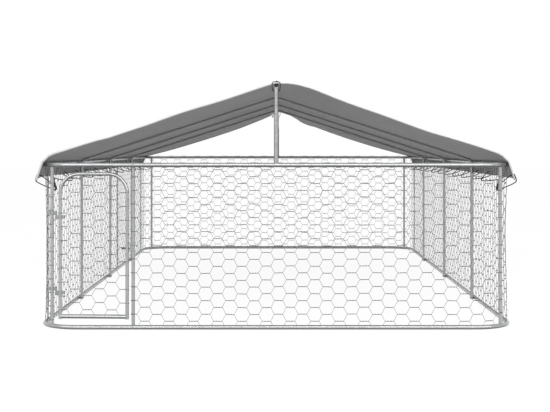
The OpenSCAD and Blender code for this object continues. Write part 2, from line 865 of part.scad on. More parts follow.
// the first turn hangs lower and before its eyelet, and the last one stays on the straight wall
function lace_back(i) = i == 0 ? -lace_lead / 2 : i == eyelet_n - 1 ? -lace_lead : lace_lead;
function lace_low(i) = i == 0 ? lace_z - lace_lead / 2 : lace_z;
lace_path = concat(
  [[lace_turn, eyelet_y[1] - lace_lead * 2 / 3, lace_low(0) + 14]],
  [for (i = [0:eyelet_n]) each concat(
    let (y = eyelet_y[i])
      [lace_at(lace_in, y - 3), lace_at(lace_out, y + 3), lace_at(lace_rim, y + 9), lace_at(lace_edge, y + 14)],
    i == eyelet_n ? [] : let (y = eyelet_y[i + 1] + lace_back(i), z = lace_low(i))
      [[lace_turn, y - 8, z - 5], [lace_turn, y, z], [lace_turn, y - 8, z + 6]]
  )],
  [[lace_end.x + 12, cy, lace_z], [cx + post_r, lace_end.y, lace_z], [cx - post_r, lace_end.y + 4, lace_z]]
);

module right_lacing() cord(lace_path);

module left_lacing() {
  mirror([1, 0, 0]) cord(lace_path);
}

// A loop of cord from each ridge eyelet of the sheet, over the sheet's edge and
// under the ridge tube behind the king post
function tie_half(eye) = let (z = zr + ridge_lay + eye + sheet_t + eyelet_lip + cord_d / 2 + lay) [
  [4, sheet_end - eyelet_in, z],
  [15, sheet_end - 4, z + 1],
  [24, sheet_end + 12, z - 8],
  [26, sheet_end + 26, z - tie_drop / 2],
  [18, sheet_end + 44, z - tie_drop + 12],
  [4, sheet_end + 52, z - tie_drop]
];
function flip_x(p) = [-p.x, p.y, p.z];
function tie_path(half) = concat(half, [for (i = [len(half) - 1:-1:0]) flip_x(half[i])]);

module back_ridge_tie() cord(tie_path(tie_half(back_eye)));

module front_ridge_tie() {
  mirror([0, 1, 0]) cord(tie_path(tie_half(front_eye)));
}

// Hinges: a clamp on the corner post and one on the door's stile share a pin

clamp_r = post_r + touch;
ear_at = clamp_r + ear_l - clamp_d - 1;
ear_w = ear_gap / 2 + band_t;

// a band round a post at the origin, with an arm to a knuckle along +X and a
// pair of ears, drawn together by a bolt, at ear_turn from the arm
module hinge_clamp(reach, ear_turn, bore) {
  difference() {
    linear_extrude(leaf_h) difference() {
      union() {
        circle(r = clamp_r + band_t);
        translate([0, -band_t]) square([reach, 2 * band_t]);
        translate([reach, 0]) circle(d = knuckle_d);
        rotate(ear_turn) translate([0, -ear_w]) square([clamp_r + ear_l, 2 * ear_w]);
      }
      circle(r = clamp_r);
      translate([reach, 0]) circle(d = bore);
      rotate(ear_turn) translate([0, -ear_gap / 2]) square([clamp_r + ear_l + 1, ear_gap]);
    }
    rotate([0, 0, ear_turn]) translate([ear_at, 0, leaf_h / 2]) along_y()
      cylinder(d = clamp_d + 2 * touch, h = 4 * ear_w, center = true);
  }
}

module clamp_bolt(ear_turn) {
  rotate([0, 0, ear_turn]) translate([ear_at, -ear_w - touch / 2, leaf_h / 2]) along_y() {
    cylinder(d = clamp_d, h = 2 * ear_w + clamp_head + touch);
    translate([0, 0, -clamp_head]) cylinder(d = clamp_d + 4, h = clamp_head);
  }
}

module clamp_nut(ear_turn) {
  rotate([0, 0, ear_turn]) translate([ear_at, ear_w + touch / 2, leaf_h / 2]) along_y()
    hex_nut(clamp_d, clamp_d + 3, clamp_head);
}

reach = hinge_gap / 2;
post_ears = 215;
door_ears = hinge_turn + door_a - 180;

module at_post_clamps() {
  for (z = hinge_z)
    translate([corner_p.x, corner_p.y, z + touch]) rotate([0, 0, -hinge_turn]) children();
}

module at_door_clamps() {
  for (z = hinge_z)
    translate([stile_p.x, stile_p.y, z - leaf_h - touch]) rotate([0, 0, 180 - hinge_turn]) children();
}

module post_hinge_clamps() {
  color(plated) at_post_clamps() hinge_clamp(reach, post_ears, pin_d + 2 * touch);
}

module post_clamp_bolts() {
  color(plated) at_post_clamps() clamp_bolt(post_ears);
}

module post_clamp_nuts() {
  color(plated) at_post_clamps() clamp_nut(post_ears);
}

module door_hinge_clamps() {
  color(plated) at_door_clamps() hinge_clamp(reach, door_ears, pin_d + 2 * running);
}

module door_clamp_bolts() {
  color(plated) at_door_clamps() clamp_bolt(door_ears);
}

module door_clamp_nuts() {
  color(plated) at_door_clamps() clamp_nut(door_ears);
}

module hinge_pins() {
  color(plated)
    for (z = hinge_z)
      translate([pin_p.x, pin_p.y, z + touch + leaf_h + touch]) mirror([0, 0, 1]) {
        cylinder(d = pin_d, h = 2 * leaf_h + 3 * touch + head_h + 3);
        translate([0, 0, -head_h]) cylinder(d = knuckle_d, h = head_h);
      }
}

module hinge_pin_nuts() {
  color(plated)
    for (z = hinge_z)
      translate([pin_p.x, pin_p.y, z - touch - leaf_h - touch - head_h]) hex_nut(pin_d, knuckle_d - 2, head_h);
}

// Door: a bow of tube, a bottom bar, netting and a latch bolt through one stile

module at_door() {
  translate([stile_p.x, stile_p.y, 0]) rotate([0, 0, door_a]) children();
}

module door_frame() {
  bow_z = door_top - door_r;
  color(galvanised) at_door() difference() {
    union() {
      for (x = [0, door_w]) translate([x, 0, door_foot]) pipe(post_d, bow_z - door_foot);
      translate([door_w - door_r, 0, bow_z]) rotate([90, 0, 0]) bend(post_d, door_r, 90);
      translate([door_r, 0, bow_z]) rotate([90, 0, 0]) rotate([0, 0, 90]) bend(post_d, door_r, 90);
      translate([door_r, 0, door_top]) along_x() pipe(post_d, door_w - 2 * door_r);
    }
    translate([door_w, 0, latch_z]) along_x()
      cylinder(d = bolt_d + 2 * running, h = 2 * post_d, center = true);
  }
}

module door_bottom_bar() {
  inset = post_r / 2;
  color(galvanised) at_door() difference() {
    translate([inset, 0, bar_z]) along_x() pipe(bar_d, door_w - 2 * inset);
    for (x = [0, door_w]) translate([x, 0, 0]) cylinder(r = post_r + touch / 2, h = 2 * bar_z);
  }
}

// outline of the door's netting behind the middle of the frame, inset by m
module door_net_outline(m) {
  side_in = sqrt(pow(clamp_r + band_t, 2) - pow(door_net_y - net_t / 2, 2)) + lay + m;
  foot_in = sqrt(bar_d * bar_d / 4 - pow(door_net_y - net_t / 2, 2)) + lay + m;
  r = door_r - side_in;
  foot = bar_z + foot_in;
  translate([side_in, foot]) square([door_w - 2 * side_in, door_top - door_r - foot]);
  for (x = [door_r, door_w - door_r]) translate([x, door_top - door_r]) circle(r = r);
  translate([door_r, foot]) square([door_w - 2 * door_r, door_top - side_in - foot]);
}

module door_net() {
  h = door_top - bar_z;
  row = h / (round(2 * h / (sqrt(3) * net_side)) / 2);
  col_w = door_w / 2;
  color(wire) at_door() translate([0, door_net_y + net_t / 2, 0]) rotate([90, 0, 0]) linear_extrude(net_t)
    difference() {
      door_net_outline(0);
      intersection() {
        door_net_outline(strand_w);
        for (i = [0:2], j = [0:ceil(h / row)])
          translate([i * col_w, bar_z])
            mesh_hole(mesh_corners(col_w, row), (j + (i % 2 == 0 ? 0.5 : 0)) * row, 3 * h);
      }
    }
}

// at rest the bolt is drawn back, clear of the keeper
bolt_tip = door_w + post_r + bolt_proud;
knob_face = door_w - post_r - bolt_travel - 1;

module latch_bolt() {
  color(plated) at_door() translate([knob_face - knob_l, 0, latch_z]) along_x()
    cylinder(d = bolt_d, h = bolt_tip - knob_face + knob_l);
}

module latch_knob() {
  color(plated) at_door() translate([knob_face - knob_l, 0, latch_z]) along_x() difference() {
    cylinder(d = knob_d, h = knob_l);
    translate([0, 0, -1]) cylinder(d = bolt_d + touch, h = knob_l + 2);
  }
}

// Keeper: an angle plate screwed on the jamb, with a hole for the bolt

keeper_z = latch_z - keeper_h * 0.3;
keeper_x = bolt_tip + keeper_play - door_reach;
keeper_front = -post_r - touch - band_t;
keeper_screw_z = [keeper_z + 8, keeper_z + keeper_h - 10];

module at_jamb() {
  translate([jamb_p.x, jamb_p.y, 0]) rotate([0, 0, door_a]) children();
}

module latch_keeper() {
  color(plated) at_jamb() difference() {
    union() {
      translate([keeper_x, keeper_front, keeper_z]) cube([post_r - keeper_x, band_t, keeper_h]);
      translate([keeper_x, keeper_front, keeper_z]) cube([band_t, post_r - keeper_front - 2, keeper_h / 2]);
    }
    translate([keeper_x - 1, 0, latch_z]) along_x() cylinder(d = bolt_d + 2, h = band_t + 2);
    for (z = keeper_screw_z)
      translate([0, keeper_front - 1, z]) along_y() cylinder(d = keeper_screw_d + 2 * touch, h = band_t + 2);
  }
}

module keeper_bores() {
  at_jamb() {
    for (z = keeper_screw_z)
      translate([0, -post_d, z]) along_y() cylinder(d = keeper_screw_d + 2 * touch, h = post_d);
    translate([-post_d, 0, latch_z]) along_x() cylinder(d = bolt_d + 2, h = post_d);
  }
}

module keeper_screws() {
  color(plated) at_jamb()
    for (z = keeper_screw_z)
      translate([0, keeper_front - touch / 2, z]) along_y() {
        cylinder(d = keeper_screw_d, h = post_r);
        translate([0, 0, -2]) cylinder(d = keeper_screw_d + 3, h = 2);
      }
}

bottom_bends();
front_bottom_rail();
back_bottom_rail();
left_bottom_rail();
right_bottom_rail();
top_bends();
front_top_rail();
back_top_rail();
left_top_rail();
right_top_rail();
front_left_post();
front_right_post();
back_left_post();
back_right_post();
jamb_post();
left_side_posts();
right_side_posts();
post_screws();
jamb_bolts();
jamb_nuts();
front_king_lower();
front_king_upper();
back_king_lower();
back_king_upper();
king_collars();
king_screws();
king_top_screws();
apex_bends();
left_rafters();
right_rafters();
ridge_tube();
ridge_screws();
ridge_end_plugs();
front_net();
back_net();
left_net();
right_net();
sheet_roof();
eyelets();
left_lacing();
right_lacing();
front_ridge_tie();
back_ridge_tie();
post_hinge_clamps();
post_clamp_bolts();
post_clamp_nuts();
hinge_pins();
hinge_pin_nuts();
latch_keeper();
keeper_screws();
door_frame();
door_bottom_bar();
door_net();
door_hinge_clamps();
door_clamp_bolts();
door_clamp_nuts();
latch_bolt();
latch_knob();
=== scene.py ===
import math
from functools import partial

import bpy
import numpy as np
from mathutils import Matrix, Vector


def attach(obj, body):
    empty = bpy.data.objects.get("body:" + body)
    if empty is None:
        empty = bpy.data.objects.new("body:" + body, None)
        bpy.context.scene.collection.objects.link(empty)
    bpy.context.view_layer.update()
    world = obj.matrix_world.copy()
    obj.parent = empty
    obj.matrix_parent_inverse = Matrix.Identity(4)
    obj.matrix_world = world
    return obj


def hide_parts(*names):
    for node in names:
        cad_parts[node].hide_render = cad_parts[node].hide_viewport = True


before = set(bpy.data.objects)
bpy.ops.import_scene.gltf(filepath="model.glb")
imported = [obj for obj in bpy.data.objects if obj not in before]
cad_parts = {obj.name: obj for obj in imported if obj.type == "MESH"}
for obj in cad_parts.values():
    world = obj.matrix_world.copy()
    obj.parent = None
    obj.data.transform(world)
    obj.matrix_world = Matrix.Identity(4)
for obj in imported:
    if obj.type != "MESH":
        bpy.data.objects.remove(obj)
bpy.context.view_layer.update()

# Studio: a pale floor that runs out of view, an even white sky, a wide soft panel in front of the
# door end, and a level camera square to it.


def placed(name, data):
    made = bpy.data.objects.new(name, data)
    bpy.context.scene.collection.objects.link(made)
    return made


picture_w = 550
camera_data = bpy.data.cameras.new("camera")
camera_data.sensor_width = 36
camera_data.lens = 78.1
camera_data.shift_x = -5 / picture_w
camera_data.shift_y = -58.5 / picture_w
camera = placed("camera", camera_data)
camera.location = (0.024, -10.436, 1.1365)
camera.rotation_euler = (math.radians(90), 0, 0)
bpy.context.scene.camera = camera
bpy.context.scene.view_settings.view_transform = "Standard"


def feed(tree, socket, value):
    if isinstance(value, bpy.types.NodeSocket):
        tree.links.new(value, socket)
    else:
        socket.default_value = value


def new_node(tree, kind, inputs=None, **settings):
    """A node with its settings made, then its inputs, by name or number, linked or set."""
    made = tree.nodes.new(kind)
    for name, value in settings.items():
        setattr(made, name, value)
    for key, value in (inputs or {}).items():
        feed(tree, made.inputs[key], value)
    return made


def number(tree, operation, *values, clamp=False):
    sockets = dict(enumerate(values))
    return new_node(tree, "ShaderNodeMath", sockets, operation=operation, use_clamp=clamp).outputs[0]


def new_material(name):
    material = bpy.data.materials.new(name)
    material.use_nodes = True
    material.node_tree.nodes.clear()
    return material, material.node_tree


def seen_direct(tree):
    """1 for rays from the camera, a mirror or glass, which see the white studio."""
    path = new_node(tree, "ShaderNodeLightPath").outputs
    either = number(tree, "MAXIMUM", path["Is Camera Ray"], path["Is Glossy Ray"])
    return number(tree, "MAXIMUM", either, path["Is Transmission Ray"])


def mixed_shader(tree, share, first, second):
    return new_node(tree, "ShaderNodeMixShader", {0: share, 1: first, 2: second}).outputs[0]


def lay_floor():
    material, tree = new_material("studio_floor")
    bounce = new_node(tree, "ShaderNodeBsdfDiffuse", {"Color": (0.22, 0.22, 0.22, 1)})
    shadow = new_node(tree, "ShaderNodeBsdfDiffuse", {"Color": (0.14, 0.14, 0.14, 1)})
    glow = new_node(tree, "ShaderNodeEmission", {"Strength": 0.92})
    both = new_node(tree, "ShaderNodeAddShader", {0: shadow.outputs[0], 1: glow.outputs[0]})
    seen = mixed_shader(tree, seen_direct(tree), bounce.outputs[0], both.outputs[0])
    new_node(tree, "ShaderNodeOutputMaterial", {"Surface": seen})
    mesh = bpy.data.meshes.new("studio_floor")
    half = 60
    corners = [(-half, -half, 0), (half, -half, 0), (half, half, 0), (-half, half, 0)]
    mesh.from_pydata(corners, [], [(0, 1, 2, 3)])
    mesh.materials.append(material)
    floor = placed("studio_floor", mesh)
    floor.location.z = -0.001


def light_studio():
    world = bpy.data.worlds.new("studio")
    world.use_nodes = True
    tree = world.node_tree
    tree.nodes.clear()
    soft = new_node(tree, "ShaderNodeBackground", {"Color": (1, 1, 1, 1), "Strength": 0.5})
    white = new_node(tree, "ShaderNodeBackground", {"Color": (1, 1, 1, 1), "Strength": 1.0})
    seen = mixed_shader(tree, seen_direct(tree), soft.outputs[0], white.outputs[0])
    new_node(tree, "ShaderNodeOutputWorld", {"Surface": seen})
    bpy.context.scene.world = world
    lamp = bpy.data.lights.new("panel_front", "AREA")
    lamp.shape = "RECTANGLE"
    lamp.size, lamp.size_y = 24, 1.8
    lamp.energy = 720
    panel = placed("panel_front", lamp)
    panel.location = (0, -9.0, 3.6)
    aim = Vector((0, -3.0, 1.0))
    panel.rotation_euler = (aim - panel.location).to_track_quat("-Z", "Y").to_euler()


lay_floor()
light_studio()

# Frame: round steel tube, bent cold and hot-dip galvanised afterwards, in the shapes of the solids,
# with dull zinc crystals and faint runs. Painted shade darkens its undersides and the ends of the top
# bends under the flaps, and the rafters are duller, with a lighter colour painted in against the
# shade under the sheet.


def skin_group(name, inputs, outputs):
    """A shader group with number sockets: the group, its inputs and its outputs."""
    group = bpy.data.node_groups.new(name, "ShaderNodeTree")
    for label, value in inputs.items():
        group.interface.new_socket(label, in_out="INPUT", socket_type="NodeSocketFloat").default_value = value
    for label in outputs:
        group.interface.new_socket(label, in_out="OUTPUT", socket_type="NodeSocketFloat")
    return group, new_node(group, "NodeGroupInput").outputs, new_node(group, "NodeGroupOutput").inputs


def sums(tree):
    """Plus, minus and times in a tree."""
    return [partial(number, tree, operation) for operation in ("ADD", "SUBTRACT", "MULTIPLY")]


def noise(tree, place, scale, detail=2.0):
    given = {"Vector": place, "Scale": scale, "Detail": detail}
    return new_node(tree, "ShaderNodeTexNoise", given).outputs["Fac"]


def zinc_skin():
    """Crystals and runs of a zinc coat: a tone from 0 to 1, a roughness and a height."""
    group, into, out = skin_group("zinc_skin", {"Crystals": 70.0, "Contrast": 0.5, "Base Roughness": 0.4},
                                  ("Tone", "Roughness", "Height"))
    plus, minus, times = sums(group)
    place = new_node(group, "ShaderNodeTexCoord").outputs["Object"]
    cells = {"Vector": place, "Scale": into["Crystals"]}
    crystal = new_node(group, "ShaderNodeTexVoronoi", cells, feature="F1").outputs["Color"]
    shade = new_node(group, "ShaderNodeRGBToBW", {0: crystal}).outputs[0]
    cloud, runs = noise(group, place, 3.5, 5), noise(group, place, 38, 3)
    mixed = plus(times(shade, 0.35), plus(times(cloud, 0.4), times(runs, 0.25)))
    spread = times(minus(mixed, 0.5), into["Contrast"])
    feed(group, out["Tone"], plus(spread, 0.5, clamp=True))
    feed(group, out["Roughness"], plus(into["Base Roughness"], times(shade, 0.16)))
    feed(group, out["Height"], plus(times(shade, 0.3), runs))
    return group


zinc = zinc_skin()


def tone_ramp(tree, tone, dark, light, low=0.0, high=1.0):
    ramp = new_node(tree, "ShaderNodeValToRGB", {0: tone})
    for stop, position, colour in zip(ramp.color_ramp.elements, (low, high), (dark, light)):
        stop.position = position
        stop.color = (*colour, 1)
    return ramp.outputs[0]


def raised(tree, height, strength, distance):
    bump = new_node(tree, "ShaderNodeBump", {"Strength": strength, "Distance": distance, "Height": height})
    return bump.outputs[0]


def axes_of(tree, value):
    return new_node(tree, "ShaderNodeSeparateXYZ", {0: value}).outputs


def painted_shade(tree, coloured, underside_shade, shade_from):
    """The colour with painted shade: darker where the tube faces down and past a distance from the part's
    middle.
    """
    plus, minus, times = sums(tree)
    op = partial(number, tree)
    # painted shade: the tube is darkened where its surface faces down
    facing = axes_of(tree, new_node(tree, "ShaderNodeNewGeometry").outputs["Normal"])
    shade_mask = times(times(plus(facing[2], 0.08), -2.6, clamp=True), underside_shade)
    # painted shade: darker past shade_from along x, where the flaps shade the top bends
    if shade_from:
        place = axes_of(tree, new_node(tree, "ShaderNodeTexCoord").outputs["Object"])
        past = times(minus(op("ABSOLUTE", place[0]), shade_from), 22.0, clamp=True)
        shade_mask = op("MAXIMUM", shade_mask, times(past, 0.8))
    shaded_colour = new_node(tree, "ShaderNodeMix", data_type="RGBA")
    for name, value in (("Factor", shade_mask), ("A", coloured), ("B", (0.05, 0.05, 0.052, 1))):
        feed(tree, shaded_colour.inputs[name], value)
    return shaded_colour.outputs["Result"]


def zinc_material(name, dark, light, crystals, contrast, roughness, metallic, bump,
                  underside_shade=0.0, shade_from=None):
    material, tree = new_material(name)
    skin = new_node(tree, "ShaderNodeGroup", {
        "Crystals": crystals, "Contrast": contrast, "Base Roughness": roughness}, node_tree=zinc).outputs
    coloured = tone_ramp(tree, skin["Tone"], dark, light)
    if underside_shade:
        coloured = painted_shade(tree, coloured, underside_shade, shade_from)
    steel = new_node(tree, "ShaderNodeBsdfPrincipled", {
        "Metallic": metallic, "Base Color": coloured, "Roughness": skin["Roughness"],
        "Normal": raised(tree, skin["Height"], bump, 0.0006)})
    new_node(tree, "ShaderNodeOutputMaterial", {"Surface": steel.outputs[0]})
    return material


def coat(material, *names):
    for name in names:
        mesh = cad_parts[name].data
        mesh.materials.clear()
        mesh.materials.append(material)


tube_zinc = ((0.31, 0.315, 0.325), (0.55, 0.555, 0.56), 75, 1.0, 0.10, 0.7, 0.06)
# painted shade darkens the undersides of these tubes
galvanised = zinc_material("galvanised_tube", *tube_zinc, underside_shade=0.75)
coat(galvanised,
     "bottom_bends", "front_bottom_rail", "back_bottom_rail", "left_bottom_rail", "right_bottom_rail",
     "front_top_rail", "back_top_rail", "left_top_rail", "right_top_rail",
     "front_left_post", "front_right_post", "back_left_post", "back_right_post", "jamb_post",
     "left_side_posts", "right_side_posts", "front_king_lower", "front_king_upper",
     "back_king_lower", "back_king_upper", "ridge_tube", "door_frame", "door_bottom_bar")
# painted shade of the flaps on the ends of the top bends
coat(zinc_material("corner_bend", *tube_zinc, underside_shade=0.75, shade_from=1.38), "top_bends")
# painted light: the rafters and apex bends get a lighter base colour than the other tubes, to lift the shade
# under the sheet
dull = zinc_material("dull_lightened_tube", (0.44, 0.443, 0.45), (0.62, 0.624, 0.63), 75, 1.0, 0.45, 0.3, 0.1)
coat(dull, "apex_bends", "left_rafters", "right_rafters")

# Screws, bolts, nuts, the hinge clamps and the keeper: steel turned or pressed to shape and
# electroplated with zinc, smoother and finer in grain than the dipped tube. The latch rod and its
# knob are dark.

plated = zinc_material("plated_steel", (0.27, 0.275, 0.285), (0.44, 0.445, 0.45), 420, 0.6, 0.24, 0.5, 0.1)
coat(plated,
     "post_screws", "jamb_bolts", "jamb_nuts", "king_screws", "king_top_screws", "ridge_screws",
     "post_hinge_clamps", "post_clamp_bolts", "post_clamp_nuts", "hinge_pins", "hinge_pin_nuts",
     "latch_keeper", "keeper_screws", "door_hinge_clamps", "door_clamp_bolts", "door_clamp_nuts")
dark_latch_finish = zinc_material("dark_latch_steel", (0.07, 0.07, 0.075), (0.15, 0.15, 0.155),
                          300, 0.8, 0.4, 0.3, 0.15)
coat(dark_latch_finish, "latch_bolt", "latch_knob")

# Bushes at the step of the king posts and plugs in the ends of the ridge tube: moulded plastic
# pushed into the tubes, the bushes grey and the plugs black, with the mould's fine grain.


def mould_grain():
    """The fine grain of a spark-eroded mould: a mask from 0 to 1 and a height."""
    group, into, out = skin_group("mould_grain", {"Grain": 900.0}, ("Mask", "Height"))
    place = new_node(group, "ShaderNodeTexCoord").outputs["Object"]
    feed(group, out["Mask"], noise(group, place, 60, 4))
    feed(group, out["Height"], noise(group, place, into["Grain"]))
    return group


grain = mould_grain()


def plastic_material(name, dark, light, roughness, shine):
    material, tree = new_material(name)
    skin = new_node(tree, "ShaderNodeGroup", {"Grain": 900.0}, node_tree=grain).outputs
    body = new_node(tree, "ShaderNodeBsdfPrincipled", {
        "Base Color": tone_ramp(tree, skin["Mask"], dark, light, 0.3, 0.7),
        "Normal": raised(tree, skin["Height"], 0.3, 0.0003),
        "Roughness": roughness, "Specular IOR Level": shine})
    new_node(tree, "ShaderNodeOutputMaterial", {"Surface": body.outputs[0]})
    return material


coat(plastic_material("grey_bush", (0.33, 0.33, 0.34), (0.42, 0.42, 0.43), 0.5, 0.5), "king_collars")
black = plastic_material("black_plastic", (0.006, 0.006, 0.006), (0.014, 0.014, 0.014), 0.55, 0.15)
coat(black, "ridge_end_plugs")

# Netting: hexagons of galvanised wire, each wire twisted with its neighbour along the level sides
# and bare on the slanted ones. It runs on round the corners outside the posts, and its cut ends
# are bent over the rails.

wire_finish = zinc_material("netting_wire", (0.15, 0.152, 0.156), (0.32, 0.325, 0.33),
                            300, 1.0, 0.5, 0.2, 0.2)

wire_d, side_wire_d = 0.0024, 0.0028
row_h = 0.086
twist_l = 0.050
net_foot = 0.0086
rail_z = (0.014, 1.027)
rail_r = 0.014
post_r = 0.011
net_over = post_r + 0.6 * wire_d
corner_r = 0.25
jamb_x, jamb_y = -0.89533, -2.9608
straight_x, straight_y = 1.236, 2.736
ring_x, ring_y = 1.486, 2.986
quarter = corner_r * math.pi / 2

# the ring of rails seen from above, counterclockwise from the jamb: start, direction, length, turn
ring_legs = [
    ((jamb_x, -ring_y), 0, straight_x - jamb_x, 0),
    ((straight_x, -ring_y), 0, quarter, 1),
    ((ring_x, -straight_y), 90, 2 * straight_y, 0),
    ((ring_x, straight_y), 90, quarter, 1),
    ((straight_x, ring_y), 180, 2 * straight_x, 0),
    ((-straight_x, ring_y), 180, quarter, 1),
    ((-ring_x, straight_y), 270, 2 * straight_y, 0),
    ((-ring_x, -straight_y), 270, quarter, 1),
]
wall_starts = [0.0]
for leg in range(0, 8, 2):
    wall_starts.append(wall_starts[-1] + ring_legs[leg][2] + (quarter / 2 if leg == 0 else quarter))


def ring_point(u):
    """Place on the rails' centre line, u metres from the jamb."""
    for i, ((x, y), heading, length, turn) in enumerate(ring_legs):
        if u <= length or i == len(ring_legs) - 1:
            a = math.radians(heading)
            if not turn:
                return x + u * math.cos(a), y + u * math.sin(a)
            b = u / corner_r
            ahead, aside = corner_r * math.sin(b), corner_r * (1 - math.cos(b))
            return (x + ahead * math.cos(a) - aside * math.sin(a),
                    y + ahead * math.sin(a) + aside * math.cos(a))
        u -= length


def net_stand(u):
    """How far the netting stands outside the rails' centre line, at the posts and at the jamb."""
    post_reach, jamb_reach = 0.15, 0.4
    stand = 0.0
    for post in wall_starts[1:]:
        near = abs(u - post) / post_reach
        if near < 1:
            stand += net_over * (1 - near * near) ** 2
    if u < jamb_reach:
        stand -= (ring_y + jamb_y - net_over) * (1 - max(u, 0) / jamb_reach) ** 2
    return stand


def net_pull(u):
    """How far the taut netting is drawn in at half height beside the corner posts."""
    depth, reach = 0.012, 0.2
    shares = [abs(u - post) / reach for post in wall_starts[1:]]
    return sum(depth * near * math.exp(1 - near) for near in shares)


def new_tree(name, given, result, **defaults):
    """A node tree to grow a mesh with: the tree, its inputs and its output."""
    kinds = {bool: "NodeSocketBool", int: "NodeSocketInt", float: "NodeSocketFloat"}
    tree = bpy.data.node_groups.new(name, "GeometryNodeTree")
    tree.interface.new_socket(given, in_out="INPUT", socket_type="NodeSocketGeometry")
    for label, value in defaults.items():
        label, kind = label.replace("_", " "), kinds[type(value)]
        tree.interface.new_socket(label, in_out="INPUT", socket_type=kind).default_value = value
    tree.interface.new_socket("Finish", in_out="INPUT", socket_type="NodeSocketMaterial")
    tree.interface.new_socket(result, in_out="OUTPUT", socket_type="NodeSocketGeometry")
    return tree, new_node(tree, "NodeGroupInput").outputs, new_node(tree, "NodeGroupOutput").inputs[0]


def vector(tree, x, y, z):
    return new_node(tree, "ShaderNodeCombineXYZ", {0: x, 1: y, 2: z}).outputs[0]


def moved(tree, shape, position):
    return new_node(tree, "GeometryNodeSetPosition", {"Geometry": shape, "Position": position}).outputs[0]


def circle(tree, corners, radius):
    given = {"Resolution": corners, "Radius": radius}
    return new_node(tree, "GeometryNodeCurvePrimitiveCircle", given, mode="RADIUS").outputs[0]


def swept(tree, curve, profile):
    return new_node(tree, "GeometryNodeCurveToMesh", {"Curve": curve, "Profile Curve": profile}).outputs[0]


def swept_wire(tree, path, diameter):
    curve = new_node(tree, "GeometryNodeMeshToCurve", {0: path}).outputs[0]
    return swept(tree, curve, circle(tree, 4, number(tree, "MULTIPLY", diameter, 0.5)))


def traced_line(tree, count, trace):
    """A line of count points, placed by trace(t), with t from 0 to 1 along it."""
    line = new_node(tree, "GeometryNodeMeshLine", {"Count": count}, mode="OFFSET").outputs[0]
    t = number(tree, "DIVIDE", new_node(tree, "GeometryNodeInputIndex").outputs[0], count - 1.0)
    return moved(tree, line, trace(t))


def instances(tree, points, shape, **how):
    given = {"Points": points, "Instance": shape, **how}
    return new_node(tree, "GeometryNodeInstanceOnPoints", given).outputs[0]


def joined(tree, *parts):
    made = new_node(tree, "GeometryNodeJoinGeometry")
    for part in parts:
        tree.links.new(part, made.inputs[0])
    return made.outputs[0]


def realised(tree, shape):
    return new_node(tree, "GeometryNodeRealizeInstances", {0: shape}).outputs[0]


def end_tree(tree, out, shape, finish):
    """The last nodes of a tree: instances made real, smooth, with their material."""
    smooth = new_node(tree, "GeometryNodeSetShadeSmooth", {0: realised(tree, shape)}).outputs[0]
    done = new_node(tree, "GeometryNodeSetMaterial", {"Geometry": smooth, "Material": finish})
    feed(tree, out, done.outputs[0])


